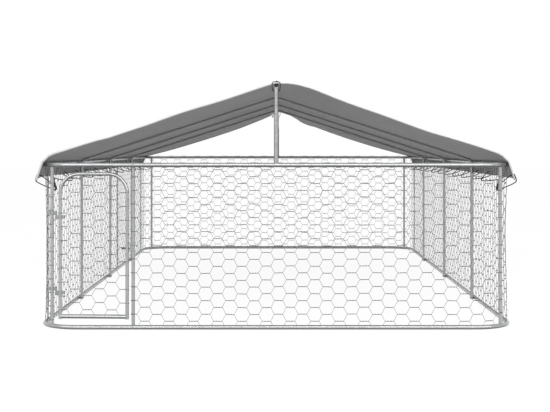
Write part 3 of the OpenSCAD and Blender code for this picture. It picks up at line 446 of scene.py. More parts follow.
def netting_tree():
    tree, into, out = new_tree(
        "hexagon_netting", "Path", "Netting", Columns=31, Levels=24, First=0, Parity=0, Start=0.0, Lead=0.06,
        Pitch=0.075, Foot=net_foot, Row_Height=row_h, Twist_Length=twist_l, Wire=wire_d, Low_Edge=0.03,
        High_Edge=1.011, Low_Rail=rail_z[0], High_Rail=rail_z[1], Rail_Radius=rail_r, Hooks=True,
        Trim_First=0.0, Trim_Last=0.0, Waviness=0.0022, Stretch=0.0, Late_Stretch=0.0, Late_From=0.0)
    plus, minus, times = sums(tree)
    op = partial(number, tree)
    half_row = times(into["Row Height"], 0.5)
    reach = minus(into["Pitch"], into["Twist Length"])

    # one level side: two wires wound one and a half times round each other
    def strand(phase):
        def trace(t):
            angle = plus(times(t, 3 * math.pi), phase)
            r = times(into["Wire"], 0.64)
            return vector(tree, times(minus(t, 0.5), into["Twist Length"]),
                          times(r, op("COSINE", angle)), times(r, op("SINE", angle)))
        return swept_wire(tree, traced_line(tree, 8, trace), times(into["Wire"], 1.2))

    twist = joined(tree, strand(math.pi / 2), strand(-math.pi / 2))

    # one slanted side, bowed a little as the twist springs it
    def slant_trace(t):
        from_mid = minus(t, 0.5)
        bow = times(op("SINE", times(t, 2 * math.pi)), 0.0016)
        return vector(tree, plus(times(from_mid, reach), bow), 0.0, times(from_mid, half_row))

    slant = swept_wire(tree, traced_line(tree, 5, slant_trace), into["Wire"])

    # a single cut end, thinner than the fabric's wire is drawn, bent over the inside of a rail
    def hook(way, rail):
        def trace(t):
            angle = times(t, math.radians(140))
            r = plus(into["Rail Radius"], times(into["Wire"], 0.24))
            return vector(tree, 0.0, times(times(r, op("SINE", angle)), -1.0),
                          plus(rail, times(times(r, op("COSINE", angle)), way)))
        return swept_wire(tree, traced_line(tree, 9, trace), times(into["Wire"], 0.45))

    # the lattice, flat: x runs along the wall and z up it
    levels = plus(into["Levels"], 1.0)
    count = times(plus(into["Columns"], 1.0), levels)
    cloud = new_node(tree, "GeometryNodePoints", {"Count": count}).outputs[0]
    index = new_node(tree, "GeometryNodeInputIndex").outputs[0]
    column = op("FLOOR", op("DIVIDE", plus(index, 0.5), levels))
    level = minus(index, times(column, levels))
    odd = op("MODULO", plus(plus(column, level), into["Parity"]), 2.0)
    is_last = op("GREATER_THAN", column, minus(into["Columns"], 0.5))
    cut_first = times(op("LESS_THAN", column, 0.5), into["Trim First"])
    cut_last = times(is_last, into["Trim Last"])
    nudge = times(minus(cut_first, cut_last), times(into["Twist Length"], 0.5))
    along = plus(into["Start"], times(column, into["Pitch"]))
    up = plus(into["Foot"], times(level, half_row))

    def cloud_at(x, z):
        return moved(tree, cloud, vector(tree, x, 0.0, z))

    path = new_node(tree, "GeometryNodeMeshToCurve", {0: into["Path"]}).outputs[0]

    def path_value(name, x):
        named = new_node(tree, "GeometryNodeInputNamedAttribute", {"Name": name}, data_type="FLOAT")
        run = plus(minus(x, into["Start"]), into["Lead"])
        given = {"Curves": path, "Value": named.outputs[0], "Length": run}
        return new_node(tree, "GeometryNodeSampleCurve", given, mode="LENGTH", data_type="FLOAT").outputs

    roof = path_value("top", along)["Value"]
    from_first = op("GREATER_THAN", column, minus(into["First"], 0.5))
    inside = times(op("GREATER_THAN", level, 0.5), times(op("LESS_THAN", up, roof), from_first))
    twists = instances(
        tree, cloud_at(plus(along, nudge), up), twist,
        Selection=times(inside, op("LESS_THAN", odd, 0.5)),
        Scale=vector(tree, minus(1.0, plus(cut_first, cut_last)), 1.0, 1.0))
    gap = minus(1.0, is_last)
    mid = plus(along, times(into["Pitch"], 0.5))
    mid_up = plus(up, times(half_row, 0.5))
    under_roof = op("LESS_THAN", mid_up, path_value("top", mid)["Value"])
    below_top = op("LESS_THAN", level, minus(into["Levels"], 0.5))
    slants = instances(
        tree, cloud_at(mid, mid_up), slant,
        Selection=times(gap, times(under_roof, below_top)),
        Rotation=vector(tree, times(odd, math.pi), 0.0, 0.0))

    def hooks(way, rail, end_level):
        edge = plus(rail, times(into["Rail Radius"], way))
        at_end = op("LESS_THAN", op("ABSOLUTE", minus(level, end_level)), 0.5)
        share = op("DIVIDE", op("ABSOLUTE", minus(edge, up)), half_row)
        lean = times(minus(share, 0.5), reach)
        side = minus(1.0, times(odd, 2.0))
        return instances(
            tree, cloud_at(plus(mid, times(side, lean)), 0.0), hook(way, rail),
            Selection=times(times(into["Hooks"], gap), at_end))

    low_hooks = hooks(1.0, into["Low Rail"], 0.0)
    high_hooks = hooks(-1.0, into["High Rail"], into["Levels"])
    flat = realised(tree, joined(tree, twists, slants, low_hooks, high_hooks))

    # pulled out of true a little and drawn wider, then carried round the wall's line
    x, y, z = axes_of(tree, new_node(tree, "GeometryNodeInputPosition").outputs[0])

    def ease(value, low, high):
        eased = new_node(tree, "ShaderNodeMapRange", interpolation_type="SMOOTHSTEP")
        for name, given in (("Value", value), ("From Min", low), ("From Max", high)):
            feed(tree, eased.inputs[name], given)
        return eased.outputs[0]

    low, high, margin = into["Low Edge"], into["High Edge"], 0.07
    free = times(ease(z, low, plus(low, margin)), minus(1.0, ease(z, minus(high, margin), high)))

    def stir(scale):
        wander = new_node(tree, "ShaderNodeTexNoise", {"Scale": scale, "Detail": 0})
        return [minus(part, 0.5) for part in axes_of(tree, wander.outputs["Color"])]

    slow, quick = stir(4.0), stir(15.0)
    wave = times(times(into["Waviness"], 4.0), free)

    def stirred(i, share):
        return times(wave, plus(slow[i], times(quick[i], share)))

    run = minus(x, into["Start"])
    late = op("MAXIMUM", minus(run, into["Late From"]), 0.0)
    drawn = plus(times(run, into["Stretch"]), times(late, into["Late Stretch"]))
    x2 = plus(plus(x, drawn), stirred(0, 0.5))
    z2 = plus(z, stirred(2, 0.5))
    on_path = path_value("stand", x2)
    rise = op("DIVIDE", minus(z, low), minus(high, low))
    bow = times(times(rise, minus(1.0, rise)), 4.0, clamp=True)
    pull = times(path_value("pull", x2)["Value"], bow)
    off = plus(plus(y, stirred(1, 0.3)), minus(times(on_path["Value"], free), pull))
    tangent = axes_of(tree, on_path["Tangent"])
    outward = vector(tree, times(tangent[1], off), times(times(tangent[0], off), -1.0), z2)
    whole = new_node(tree, "ShaderNodeVectorMath", {0: on_path["Position"], 1: outward}, operation="ADD")
    end_tree(tree, out, moved(tree, flat, whole.outputs[0]), into["Finish"])
    return tree


netting = netting_tree()


def grown(name, base, tree, **values):
    """A plain mesh object from a base mesh and a node tree."""
    piece = placed(name, base)
    nodes = piece.modifiers.new("grow", "NODES")
    nodes.node_group = tree
    ports = {port.name: port.identifier for port in tree.interface.items_tree if port.in_out == "INPUT"}
    for label, value in values.items():
        nodes[ports[label.replace("_", " ")]] = value
    bpy.context.view_layer.update()
    made = bpy.data.meshes.new_from_object(piece.evaluated_get(bpy.context.evaluated_depsgraph_get()))
    made.name = name
    piece.modifiers.remove(nodes)
    piece.data = made
    return piece


def net_path(name, points, **values):
    mesh = bpy.data.meshes.new(name)
    mesh.from_pydata(points, [(i, i + 1) for i in range(len(points) - 1)], [])
    for label, list_of in values.items():
        mesh.attributes.new(label, "FLOAT", "POINT").data.foreach_set("value", list_of)
    return mesh


# the front wall's netting is drawn wider than the rest, most of all to the right of its middle,
# and runs on round the corner post before the right wall's netting joins it
lead = 0.06
path_step = 0.012
no_top = 2.0
columns = (31, 78, 38, 78)
stretch, late_stretch, late_from = 0.0093, 0.0357, 1.233
net_starts = [*wall_starts]
net_starts[1] += stretch * wall_starts[1] + late_stretch * (wall_starts[1] - late_from)
wall_extras = {
    "front": dict(Trim_First=0.24, Stretch=stretch, Late_Stretch=late_stretch, Late_From=late_from),
    "right": dict(Wire=side_wire_d),
    "left": dict(Wire=side_wire_d, Trim_Last=0.42),
}
first_column = 0
for i, wall in enumerate(("front", "right", "back", "left")):
    start, end = net_starts[i], net_starts[i + 1]
    even_end = wall_starts[1] if i == 0 else end
    stops = np.linspace(start - lead, end + lead, int((end - start + 2 * lead) / path_step))
    path = net_path("netting_" + wall, [(*ring_point(u), 0) for u in stops],
                    stand=[net_stand(u) for u in stops], pull=[net_pull(u) for u in stops],
                    top=[no_top] * len(stops))
    net = grown("netting_" + wall, path, netting, Columns=columns[i], First=min(i, 1),
                Parity=first_column % 2, Start=start, Lead=lead, Pitch=(even_end - start) / columns[i],
                Finish=wire_finish, **wall_extras.get(wall, {}))
    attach(net, "frame")
    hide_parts(wall + "_net")
    first_column += columns[i]

# Seams: on both side walls lengths of netting meet, and three upright wires, wound round each
# other, are threaded through their edges.


def seam_tree():
    tree, into, out = new_tree("netting_seam", "Places", "Seams", Foot=0.028, Height=0.985, Gap=0.0046,
                               Turns=11.5, Wire=wire_d)
    plus, _, times = sums(tree)
    op = partial(number, tree)

    def strand(phase):
        def trace(t):
            turn = plus(times(times(t, into["Turns"]), 2 * math.pi), phase)
            return vector(tree, times(into["Gap"], op("COSINE", turn)), times(into["Gap"], op("SINE", turn)),
                          plus(into["Foot"], times(t, into["Height"])))
        return swept_wire(tree, traced_line(tree, 140, trace), into["Wire"])

    three = joined(tree, strand(0.0), strand(2 * math.pi / 3), strand(4 * math.pi / 3))
    end_tree(tree, out, instances(tree, into["Places"], three), into["Finish"])
    return tree


def places(name, points):
    mesh = bpy.data.meshes.new(name)
    mesh.from_pydata([tuple(p) for p in points], [], [])
    return mesh


seam_spots = [(-ring_x, -2.675, 0), (-ring_x, 0.64, 0), (-ring_x, 2.5, 0), (ring_x, 2.56, 0)]
seams = grown("netting_seams", places("netting_seams", seam_spots), seam_tree(),
              Foot=0.028, Height=0.985, Gap=0.0046, Turns=11.5, Wire=0.0034, Finish=wire_finish)
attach(seams, "frame")

# Wire ends at the jamb and at the corner post beside the door: the netting stops there, and the
# end of each twist is wound once and a half round the tube.

corner_x, corner_y = 1.41278, 2.91278
wrap_turns = 1.6


def wraps_tree():
    tree, into, out = new_tree("wire_wraps", "Places", "Wraps", Tube_Radius=post_r, Wire=wire_d,
                               Turns=wrap_turns)
    plus, minus, times = sums(tree)
    op = partial(number, tree)

    def trace(t):
        turn = times(times(t, into["Turns"]), 2 * math.pi)
        r = plus(into["Tube Radius"], times(into["Wire"], 0.52))
        rise = times(into["Turns"], times(into["Wire"], 1.05))
        return vector(tree, times(r, op("COSINE", turn)), times(r, op("SINE", turn)),
                      times(minus(t, 0.5), rise))

    coil = swept_wire(tree, traced_line(tree, 30, trace), into["Wire"])
    end_tree(tree, out, instances(tree, into["Places"], coil), into["Finish"])
    return tree


wraps = wraps_tree()
half_up = 0.5 * (first_column % 2 == 0)
jamb_wraps = [(jamb_x, jamb_y, net_foot + row_h * (k + 1)) for k in range(11)]
hinge_wraps = [(-corner_x, -corner_y, net_foot + row_h * (k + 0.5 + half_up)) for k in range(11)]
tied = grown("netting_ends", places("netting_ends", jamb_wraps + hinge_wraps), wraps,
             Tube_Radius=post_r, Wire=wire_d, Turns=wrap_turns, Finish=wire_finish)
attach(tied, "frame")

# Door netting: a piece of the same netting behind the bow of the door, its level sides wound round
# both stiles. Its lowest wires end at the bottom bar.

door_at = (-1.35727, -2.93808)
door_turn = math.radians(-2.816620)
door_w = 0.424
door_top, door_bow = 0.970, 0.118
net_behind = 0.010
door_foot, door_row, door_first = 0.0735, 0.0868, 0.0143
latch_row = 4


def door_point(x, y):
    c, s = math.cos(door_turn), math.sin(door_turn)
    return door_at[0] + x * c - y * s, door_at[1] + x * s + y * c


def bow_under(x):
    """Height of the bow's centre line over the place x across the door."""
    over = max(door_bow - x, x - (door_w - door_bow), 0.0)
    return door_top - door_bow + math.sqrt(max(door_bow ** 2 - over ** 2, 0.0))


door_stops = np.linspace(-lead, door_w + lead, 80)
level_line = [0.0] * len(door_stops)
door_path = net_path("door_netting", [(*door_point(x, net_behind), 0) for x in door_stops],
                     stand=level_line, pull=level_line,
                     top=[bow_under(min(max(x, 0), door_w)) - 0.004 for x in door_stops])
door_net = grown("door_netting", door_path, netting, Columns=5, Levels=21, First=0, Parity=1,
                 Start=door_first, Lead=lead + door_first, Pitch=0.0775, Foot=door_foot, Row_Height=door_row,
                 Low_Edge=0.09, High_Edge=0.955, Hooks=False, Waviness=0.002, Finish=wire_finish)
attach(door_net, "door")
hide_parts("door_net")

stile_wraps = [(*door_point(0, 0), door_foot + door_row * (k + 0.5)) for k in range(9)]
stile_wraps += [(*door_point(door_w, 0), door_foot + door_row * (k + 1)) for k in range(9) if k != latch_row]
door_tied = grown("door_netting_ends", places("door_netting_ends", stile_wraps), wraps,
                  Tube_Radius=post_r, Wire=wire_d, Turns=wrap_turns, Finish=wire_finish)
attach(door_tied, "door")

# Roof sheet: one piece of grey coated tape fabric laid over the ridge tube and the side rails. It
# sags between the rafters, lifts along its front edge, and hangs as a short flap at both eaves.

sheet_t = 0.0009
ridge_z, eave_z = 1.524, 1.027
ridge_over, eave_over = 0.0113, 0.0143
sheet_end = 2.866
bay_ends = [-sheet_end, -1.5, 0.0, 1.5, sheet_end]
flap_l, flap_lean = 0.090, math.radians(19)
slope_a = math.atan2(ridge_z - eave_z, ring_x) - math.asin(
    (eave_over - ridge_over) / math.hypot(ring_x, ridge_z - eave_z))
back_sag, bay_sag = 0.036, 0.014
tuck_from = 2.75
eye_r, eye_roll = 0.0085, 0.0025
flap_in = 0.020
eyelet_pitch = 0.480
eyelet_span = 2 * (sheet_end - flap_in - eye_r - eye_roll)
eyelet_n = math.ceil(eyelet_span / eyelet_pitch)
eyelet_y = [i * eyelet_span / eyelet_n - eyelet_span / 2 for i in range(eyelet_n + 1)]

# lift of the front edge over the straight slope, by the share of the way down it
lift_left = ((0, .05, .15, .31, .46, .62, .72, .77, .82, .90, .94, .965, .98, 1),
             (.012, .014, .0155, .018, .0196, .0205, .0195, .027, .030, .032, .034, .0355, .031, .010))
lift_right = ((0, .025, .05, .09, .15, .20, .255, .36, .46, .56, .665, .72, .82, .885, .92, .955, .98, 1),
              (.012, .021, .034, .046, .0505, .047, .042, .0365, .033, .029, .0255, .030, .038, .041,
               .040, .040, .033, .013))
# the same for the back edge
back_left = ((0, .05, .10, .30, .45, .60, 1), (0, -.008, -.010, -.010, -.004, 0, 0))
back_right = ((0, .03, .06, .10, .14, .18, .23, .28, 1), (0, .010, .018, .018, .009, -.009, -.010, 0, 0))


def tuck(y, side):
    """How far the eaves are drawn in over the corner bends, more at the front right."""
    depth = 0.0205 if y > 0 else 0.024 if side > 0 else 0.015
    return depth * max((abs(y) - tuck_from) / (sheet_end - tuck_from), 0.0) ** 1.6


def flap_more(y, side):
    """How much longer the flap is towards its front corner, where the lacing pulls it down."""
    return 0.029 * math.exp(-(y + sheet_end) / (0.2 if side < 0 else 0.6))


def half_section():
    """Points from the ridge to the hem: place, outward normal, share of the slope, of the flap."""
    points = []
    for i in range(5):
        a = slope_a * i / 4
        points.append(((ridge_over * math.sin(a), ridge_z + ridge_over * math.cos(a)),
                       (math.sin(a), math.cos(a)), 0.0, 0.0))
    n = np.array((math.sin(slope_a), math.cos(slope_a)))
    top = n * ridge_over + (0, ridge_z)
    foot = n * eave_over + (ring_x, eave_z)
    shares = (np.linspace(0.02, 0.2, 8), np.linspace(0.225, 0.7, 18), np.linspace(0.72, 1, 14))
    for t in np.concatenate(shares):
        points.append((tuple(top + t * (foot - top)), tuple(n), float(t), 0.0))
    last = math.pi / 2 - flap_lean
    for i in range(1, 7):
        a = slope_a + (last - slope_a) * i / 6
        points.append(((ring_x + eave_over * math.sin(a), eave_z + eave_over * math.cos(a)),
                       (math.sin(a), math.cos(a)), 1.0, 0.0))
    edge = points[-1][0]
    out, down = math.sin(flap_lean), math.cos(flap_lean)
    for s in np.linspace(0.1, 1, 10):
        points.append(((edge[0] + flap_l * s * out, edge[1] - flap_l * s * down), (down, out), 1.0, float(s)))
    return points


def ripple(u, v, seed):
    """A smooth wander from -1 to 1, the same on every run."""
    rng = np.random.default_rng(seed)
    total = 0.0
    for _ in range(6):
        a, b, phase = rng.uniform(0.6, 2.4), rng.uniform(0.6, 2.4), rng.uniform(0, 2 * math.pi)
        total += math.sin(a * u + phase) * math.cos(b * v + 1.7 * phase)
    return total / 3.2


def sheet_point(place, normal, t, s, side, y):
    bay = max(i for i in range(4) if y >= bay_ends[i] - 1e-9)
    f = (y - bay_ends[bay]) / (bay_ends[bay + 1] - bay_ends[bay])
    across = 4 * t * (1 - t)
    drop = ((back_sag * f if bay == 3 else 0.0) + bay_sag * math.sin(math.pi * f) ** 2) * across
    if bay == 0:
        drop -= float(np.interp(t, *(lift_left if side < 0 else lift_right))) * (1 - f) ** 2
    if bay == 3:
        drop -= float(np.interp(t, *(back_left if side < 0 else back_right))) * f ** 3
    from_support = f * (1 - f) / 0.03 if bay else (1 - f) / 0.12
    loose = 1.0 - math.exp(-from_support ** 2)
    drop += 0.004 * loose * across * ripple(9 * t * side + 3 * side, 5 * y, 3)
    x, z = (place[0] - t * tuck(y, side)) * side, place[1] - drop
    if s > 0:
        near = min(abs(y - e) for e in eyelet_y)
        free = math.sin(math.pi * min(near / (eyelet_span / eyelet_n), 0.5)) ** 2
        out = free * (0.006 + 0.005 * ripple(2.0 * s, 11 * y + 5 * side, 8)) * s * s
        x += (out * normal[0] + flap_more(y, side) * s * math.sin(flap_lean)) * side
        z += out * normal[1] - flap_more(y, side) * s * math.cos(flap_lean)
    return x, y, z


def sheet_stations():
    ys = set()
    for a, b in zip(bay_ends, bay_ends[1:]):
        ys.update(np.round(np.linspace(a, b, 29), 5))
    for e in (-sheet_end, sheet_end):
        ys.update(np.round(e - np.sign(e) * np.array((0.008, 0.02, 0.035, 0.05, 0.065, 0.085, 0.105)), 5))
    return sorted(ys)


half = half_section()
section = [(*p, -1) for p in reversed(half[1:])] + [(*p, 1) for p in half]
run = [0.0]
for a, b in zip(section, section[1:]):
    run.append(run[-1] + math.dist((a[0][0] * a[4], a[0][1]), (b[0][0] * b[4], b[0][1])))
stations = sheet_stations()
sheet_points = [[sheet_point(*p, y) for p in section] for y in stations]

tape_w, fold_w, crease_w = 0.0026, 0.71, 0.006


def woven_tapes():
    """Crossing flat tapes under a thin coat, with the creases of a folded sheet: tone and height."""
    group, into, out = skin_group("woven_tapes", {"Tape": tape_w, "Fold": fold_w}, ("Tone", "Height"))
    plus, minus, times = sums(group)
    op = partial(number, group)
    flat = new_node(group, "ShaderNodeUVMap", uv_map="cut").outputs[0]
    u, v, _ = axes_of(group, flat)

    def tape(axis):
        return op("ABSOLUTE", op("SINE", times(op("DIVIDE", axis, into["Tape"]), math.pi)))

    def crease(axis, shift):
        cell = op("FRACT", plus(op("DIVIDE", axis, into["Fold"]), shift))
        away = times(op("ABSOLUTE", minus(cell, 0.5)), into["Fold"])
        return minus(1.0, op("DIVIDE", away, crease_w), clamp=True)

    diagonal = plus(op("DIVIDE", u, into["Tape"]), op("DIVIDE", v, into["Tape"]))
    over = op("GREATER_THAN", op("SINE", times(diagonal, math.pi)), 0.0)
    weave = plus(times(tape(u), over), times(tape(v), minus(1.0, over)))
    creases = op("MAXIMUM", crease(u, 0.13), crease(v, 0.37))
    cloud = noise(group, flat, 2.2, 6)
    tone = plus(times(weave, 0.22), plus(times(cloud, 0.62), times(creases, 0.10)))
    feed(group, out["Tone"], plus(tone, 0.05, clamp=True))
    feed(group, out["Height"], plus(times(weave, 0.25), times(creases, 0.8)))
    return group


tapes = woven_tapes()


def sheet_material(name, dark, light, roughness, bump, through):
    material, tree = new_material(name)
    cloth = new_node(tree, "ShaderNodeGroup", {"Tape": tape_w, "Fold": fold_w}, node_tree=tapes).outputs
    coated = new_node(tree, "ShaderNodeBsdfPrincipled", {
        "Base Color": tone_ramp(tree, cloth["Tone"], dark, light, 0.2, 0.8),
        "Normal": raised(tree, cloth["Height"], bump, 0.0008),
        "Roughness": roughness, "Sheen Weight": 0.05})
    thin = new_node(tree, "ShaderNodeBsdfTranslucent", {"Color": (0.8, 0.8, 0.8, 1)})
    both = mixed_shader(tree, through, coated.outputs[0], thin.outputs[0])
    new_node(tree, "ShaderNodeOutputMaterial", {"Surface": both})
    return material


def linked_mesh(name, points, faces, uvs, material):
    mesh = bpy.data.meshes.new(name)
    mesh.from_pydata(points, [], faces)
    layer = mesh.uv_layers.new(name="cut")
    layer.data.foreach_set("uv", [c for face in uvs for uv in face for c in uv])
    mesh.shade_smooth()
    mesh.materials.append(material)
    return placed(name, mesh)


def lay_sheet():
    wide = len(section)
    points = [p for row in sheet_points for p in row]
    faces, uvs = [], []
    for r in range(len(stations) - 1):
        for c in range(wide - 1):
            a = r * wide + c
            faces.append((a, a + 1, a + wide + 1, a + wide))
            uvs.append(((run[c], stations[r]), (run[c + 1], stations[r]),
                        (run[c + 1], stations[r + 1]), (run[c], stations[r + 1])))
    cloth = sheet_material("coated_sheet", (0.315, 0.315, 0.32), (0.405, 0.405, 0.41), 0.55, 0.2, 0.28)
    piece = linked_mesh("roof_sheet", points, faces, uvs, cloth)
    solid = piece.modifiers.new("thickness", "SOLIDIFY")
    solid.thickness = sheet_t
    solid.offset = 1
    return piece


roof = lay_sheet()
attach(roof, "frame")
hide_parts("sheet_roof")

# Hem: the edge of the sheet is folded over a thin rope and welded, so it stands as a pale bead
# all round, thicker where the folds meet at the front eaves. The bead's pale colour, far lighter than
# the sheet's, is painted highlight for the sheet's lit edge.


def unit(v):
    return v / np.maximum(np.linalg.norm(v, axis=-1, keepdims=True), 1e-12)


def swept_bead(name, path, radius, sides, material, closed=False):
    """A round bead along a path, of one radius or one for each point, with a UV map along it."""
    path = np.asarray(path, float)
    n = len(path)
    radii = np.broadcast_to(radius, n)
    ahead = np.roll(path, -1, 0) - path
    behind = path - np.roll(path, 1, 0)
    if not closed:
        ahead[-1], behind[0] = behind[-1], ahead[0]
    tangent = unit(unit(ahead) + unit(behind))
    side = np.zeros_like(path)
    side[0] = unit(np.cross(tangent[0], (0.31, 0.17, 0.93)))
    for i in range(1, n):
        side[i] = unit(side[i - 1] - tangent[i] * np.dot(side[i - 1], tangent[i]))
    up = np.cross(tangent, side)
    along = np.concatenate(([0], np.cumsum(np.linalg.norm(np.diff(path, axis=0), axis=1))))
    points, faces, uvs = [], [], []
    for i in range(n):
        for k in range(sides):
            a = 2 * math.pi * k / sides
            points.append(tuple(path[i] + radii[i] * (math.cos(a) * side[i] + math.sin(a) * up[i])))
    girth = 2 * math.pi * radii[0]
    for i in range(n if closed else n - 1):
        j = (i + 1) % n
        far = along[j] if j else along[-1] + np.linalg.norm(path[0] - path[-1])
        for k in range(sides):
            m = (k + 1) % sides
            faces.append((i * sides + k, i * sides + m, j * sides + m, j * sides + k))
            uvs.append(tuple((girth * q / sides, v)
                             for q, v in ((k, along[i]), (k + 1, along[i]), (k + 1, far), (k, far))))
    if not closed:
        faces.append(tuple(range(sides))[::-1])
        faces.append(tuple((n - 1) * sides + k for k in range(sides)))
        uvs += [((0, 0),) * sides] * 2
    return linked_mesh(name, points, faces, uvs, material)


def hem_loop():
    wide, tall = len(section), len(stations)
    rim = [sheet_points[0][c] for c in range(wide)]
    rim += [sheet_points[r][wide - 1] for r in range(1, tall)]
    rim += [sheet_points[tall - 1][c] for c in range(wide - 2, -1, -1)]
    rim += [sheet_points[r][0] for r in range(tall - 2, 0, -1)]
    return rim


def hem_thickness(x, y, _):
    eave = math.exp(-((y + sheet_end) / 0.05) ** 2) * min(max((abs(x) - 1.25) / 0.15, 0), 1)
    return (0.0044 + 0.0024 * eave) if x < 0 else (0.0034 + 0.0016 * eave)


rim = hem_loop()
# painted highlight: the hem is much paler than the sheet it is folded from
hem_highlight = sheet_material("coated_hem_highlight", (0.66, 0.66, 0.665), (0.75, 0.75, 0.755), 0.5, 0.2, 0.0)
hem = swept_bead("roof_hem", rim, [hem_thickness(*p) for p in rim], 8, hem_highlight, closed=True)
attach(hem, "frame")

# Eyelets: two-part plated rings rolled together through the flaps every half metre, and through
# the ridge at both ends of the sheet.


def eyelet_tree():
    tree, into, out = new_tree("rolled_eyelets", "Places", "Eyelets", Ring_Radius=eye_r, Roll=eye_roll,
                               Sheet=sheet_t)

    def rolled(way):
        ring = swept(tree, circle(tree, 24, into["Ring Radius"]), circle(tree, 10, into["Roll"]))
        height = number(tree, "MULTIPLY", into["Sheet"], 0.5 + 0.55 * way)
        press = new_node(tree, "GeometryNodeTransform", {
            "Geometry": ring, "Scale": (1, 1, 0.42), "Translation": vector(tree, 0.0, 0.0, height)})
        return press.outputs[0]

    facing = new_node(tree, "GeometryNodeInputNamedAttribute", {"Name": "facing"}, data_type="FLOAT_VECTOR")
    turn = new_node(tree, "FunctionNodeAlignRotationToVector", {"Vector": facing.outputs[0]}, axis="Z")
    both = joined(tree, rolled(-1), rolled(1))
    end_tree(tree, out, instances(tree, into["Places"], both, Rotation=turn.outputs[0]), into["Finish"])
    return tree


flap_dir = (math.sin(flap_lean), -math.cos(flap_lean))
flap_out = (math.cos(flap_lean), math.sin(flap_lean))
flap_from = (ring_x + eave_over * flap_out[0], eave_z + eave_over * flap_out[1])
eyelet_p = tuple(a + (flap_l - flap_in) * b for a, b in zip(flap_from, flap_dir))
front_lift = lift_left[1][0]
front_eye = front_lift * (1 - flap_in / (bay_ends[1] - bay_ends[0])) ** 2
back_eye = 0.001
eyelet_spots, eyelet_faces = [], []
for side in (-1, 1):
    for y in eyelet_y:
        turned = (tuck(y + 0.001, side) - tuck(y - 0.001, side)) / 0.002
        eyelet_spots.append((side * (eyelet_p[0] - tuck(y, side)), y, eyelet_p[1]))
        eyelet_faces.append((side * flap_out[0], turned * flap_out[0], flap_out[1]))
for y, lift in ((flap_in - sheet_end, front_eye), (sheet_end - flap_in, back_eye)):
    eyelet_spots.append((0, y, ridge_z + ridge_over + lift))
    eyelet_faces.append((0, 0, 1))
eyelet_base = places("roof_eyelets", eyelet_spots)
eyelet_base.attributes.new("facing", "FLOAT_VECTOR", "POINT").data.foreach_set(
    "vector", [c for v in eyelet_faces for c in v])
rings = grown("roof_eyelets", eyelet_base, eyelet_tree(), Ring_Radius=eye_r, Roll=eye_roll, Sheet=sheet_t,
              Finish=plated)
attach(rings, "frame")
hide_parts("eyelets")

# Lacing: one length of black elastic cord on each side, braided round a rubber core. It goes out
# through each eyelet, under the flap's edge and round a wire of the netting past the next eyelet.
# A moulded hook holds its front end on the netting, and its back end is round the corner post.

cord_d = 0.005
lace_r = 0.0033
braid_pitch = 0.0045


def braid_material():
    material, tree = new_material("braided_cord")
    plus, minus, times = sums(tree)
    op = partial(number, tree)
    u, v, _ = axes_of(tree, new_node(tree, "ShaderNodeUVMap", uv_map="cut").outputs[0])
    girth = math.pi * cord_d
    round_it = times(u, 2 * math.pi * 4 / girth)
    down_it = times(v, 2 * math.pi / braid_pitch)
    left = op("SINE", plus(round_it, down_it))
    right = op("SINE", minus(round_it, down_it))
    strands = times(plus(op("ABSOLUTE", left), op("ABSOLUTE", right)), 0.5)
    yarn = new_node(tree, "ShaderNodeBsdfPrincipled", {
        "Base Color": tone_ramp(tree, strands, (0.006, 0.006, 0.006), (0.022, 0.022, 0.023)),
        "Normal": raised(tree, strands, 0.6, 0.0004),
        "Roughness": 0.75, "Specular IOR Level": 0.2})
    new_node(tree, "ShaderNodeOutputMaterial", {"Surface": yarn.outputs[0]})
    return material


braid = braid_material()


def smooth_route(points, step):
    """Points along a smooth curve through the given ones, about step apart."""
    p = [np.array(q, float) for q in points]
    p = [2 * p[0] - p[1], *p, 2 * p[-1] - p[-2]]
    route = []
    for a, b, c, d in zip(p, p[1:], p[2:], p[3:]):
        ta = 0.0
        tb = ta + np.linalg.norm(b - a) ** 0.5
        tc = tb + np.linalg.norm(c - b) ** 0.5
        td = tc + np.linalg.norm(d - c) ** 0.5
        count = max(2, int(np.linalg.norm(c - b) / step))
        for t in np.linspace(tb, tc, count, endpoint=False):
            ab = (tb - t) / (tb - ta) * a + (t - ta) / (tb - ta) * b
            bc = (tc - t) / (tc - tb) * b + (t - tb) / (tc - tb) * c
            cd = (td - t) / (td - tc) * c + (t - tc) / (td - tc) * d
            abc = (tc - t) / (tc - ta) * ab + (t - ta) / (tc - ta) * bc
            bcd = (td - t) / (td - tb) * bc + (t - tb) / (td - tb) * cd
            route.append((tc - t) / (tc - tb) * abc + (t - tb) / (tc - tb) * bcd)
    return [*route, p[-2]]


cord_clear = cord_d / 2 + 0.002
cad_sheet_t = 0.002
lace_z = rail_z[1] - 0.122
lace_lead = 0.090
lace_turn = ring_x - 0.0015 - cord_clear
lace_start = (lace_turn, eyelet_y[1] - lace_lead * 2 / 3, lace_z - lace_lead / 2 + 0.014)


def lace_points(side):
    def off(p, along, out, y):
        return (p[0] + along * flap_dir[0] + out * flap_out[0] - tuck(y, side), y,
                p[1] + along * flap_dir[1] + out * flap_out[1])
    path = [lace_start]
    outside = cad_sheet_t + cord_clear
    for i, y in enumerate(eyelet_y):
        edge = flap_l + flap_more(y + 0.012, side)
        path += [off(eyelet_p, 0, -cord_clear, y - 0.003), off(eyelet_p, 0, outside, y + 0.003),
                 off(flap_from, edge, outside, y + 0.009), off(flap_from, edge + cord_clear, 0, y + 0.014)]
        if i < eyelet_n:
            past = -lace_lead / 2 if i == 0 else -lace_lead if i == eyelet_n - 1 else lace_lead
            back, low = eyelet_y[i + 1] + past, lace_z - (lace_lead / 2 if i == 0 else 0)
            path += [(lace_turn, back - 0.008, low - 0.005), (lace_turn, back, low),
                     (lace_turn, back - 0.008, low + 0.006)]
    end_x, end_y = corner_x + post_r + cord_clear, corner_y + post_r + cord_clear
    path += [(end_x + 0.012, corner_y, lace_z), (corner_x + post_r, end_y, lace_z),
             (corner_x - post_r, end_y + 0.004, lace_z)]
    return path


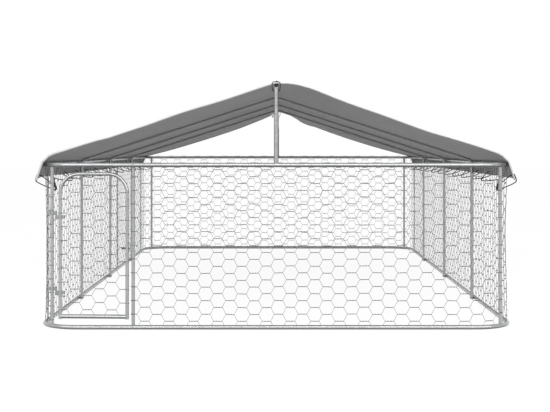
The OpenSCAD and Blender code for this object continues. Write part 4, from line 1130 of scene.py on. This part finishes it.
hook_bends = ((1.4918, 0.030), (1.4905, 0.012), (1.4898, 0.000), (1.4850, -0.010), (1.4826, -0.018),
              (1.4860, -0.026), (1.4914, -0.027))
shank = smooth_route([(x, lace_start[1], lace_start[2] + up) for x, up in hook_bends], 0.003)
shank_r = [0.0022 + 0.0022 * min(k / 6, 1) for k in range(len(shank))]
for side, name in ((1, "right"), (-1, "left")):
    lace_route = [(side * x, y, z) for x, y, z in smooth_route(lace_points(side), 0.006)]
    lace = swept_bead(name + "_lacing_cord", lace_route, lace_r, 8, braid)
    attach(lace, "frame")
    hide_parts(name + "_lacing")
    hook = swept_bead(name + "_lacing_hook", [(side * x, y, z) for x, y, z in shank], shank_r, 10, black)
    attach(hook, "frame")

# Ridge ties: a short loop of the same cord from the eyelet at each end of the ridge, over the hem
# and under the ridge tube behind the king post, knotted on top.

knot_size, knot_r, knot_tilt, knot_over = 0.0028, 0.0024, 0.4, 0.0075


def tie_points(eye):
    z = ridge_z + ridge_over + eye + cad_sheet_t + 0.001 + cord_d / 2 + 0.0003
    half = [(0.004, sheet_end - flap_in, z), (0.015, sheet_end - 0.004, z + 0.001),
            (0.024, sheet_end + 0.012, z - 0.008), (0.026, sheet_end + 0.026, z - 0.036),
            (0.018, sheet_end + 0.044, z - 0.060), (0.004, sheet_end + 0.052, z - 0.072)]
    return half + [(-x, y, z) for x, y, z in reversed(half)]


def knot_points(centre):
    """A round of an overhand knot, pulled tight, about a point."""
    points = []
    for i in range(48):
        a = 2 * math.pi * i / 48
        x, y, z = math.sin(a) + 2 * math.sin(2 * a), math.cos(a) - 2 * math.cos(2 * a), -math.sin(3 * a)
        x, z = (x * math.cos(knot_tilt) - z * math.sin(knot_tilt),
                x * math.sin(knot_tilt) + z * math.cos(knot_tilt))
        points.append((centre[0] + knot_size * x, centre[1] + knot_size * y,
                       centre[2] + knot_size * 1.2 * z))
    return points


for way, eye, name in ((-1, front_eye, "front"), (1, back_eye, "back")):
    tie_route = [(x, way * y, z) for x, y, z in smooth_route(tie_points(eye), 0.003)]
    loop = swept_bead(name + "_ridge_cord", tie_route, cord_d / 2, 10, braid)
    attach(loop, "frame")
    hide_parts(name + "_ridge_tie")
    knot_at = (0, way * (sheet_end - flap_in), ridge_z + ridge_over + eye + knot_over)
    knot = swept_bead(name + "_ridge_knot", knot_points(knot_at), knot_r, 8, braid, closed=True)
    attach(knot, "frame")
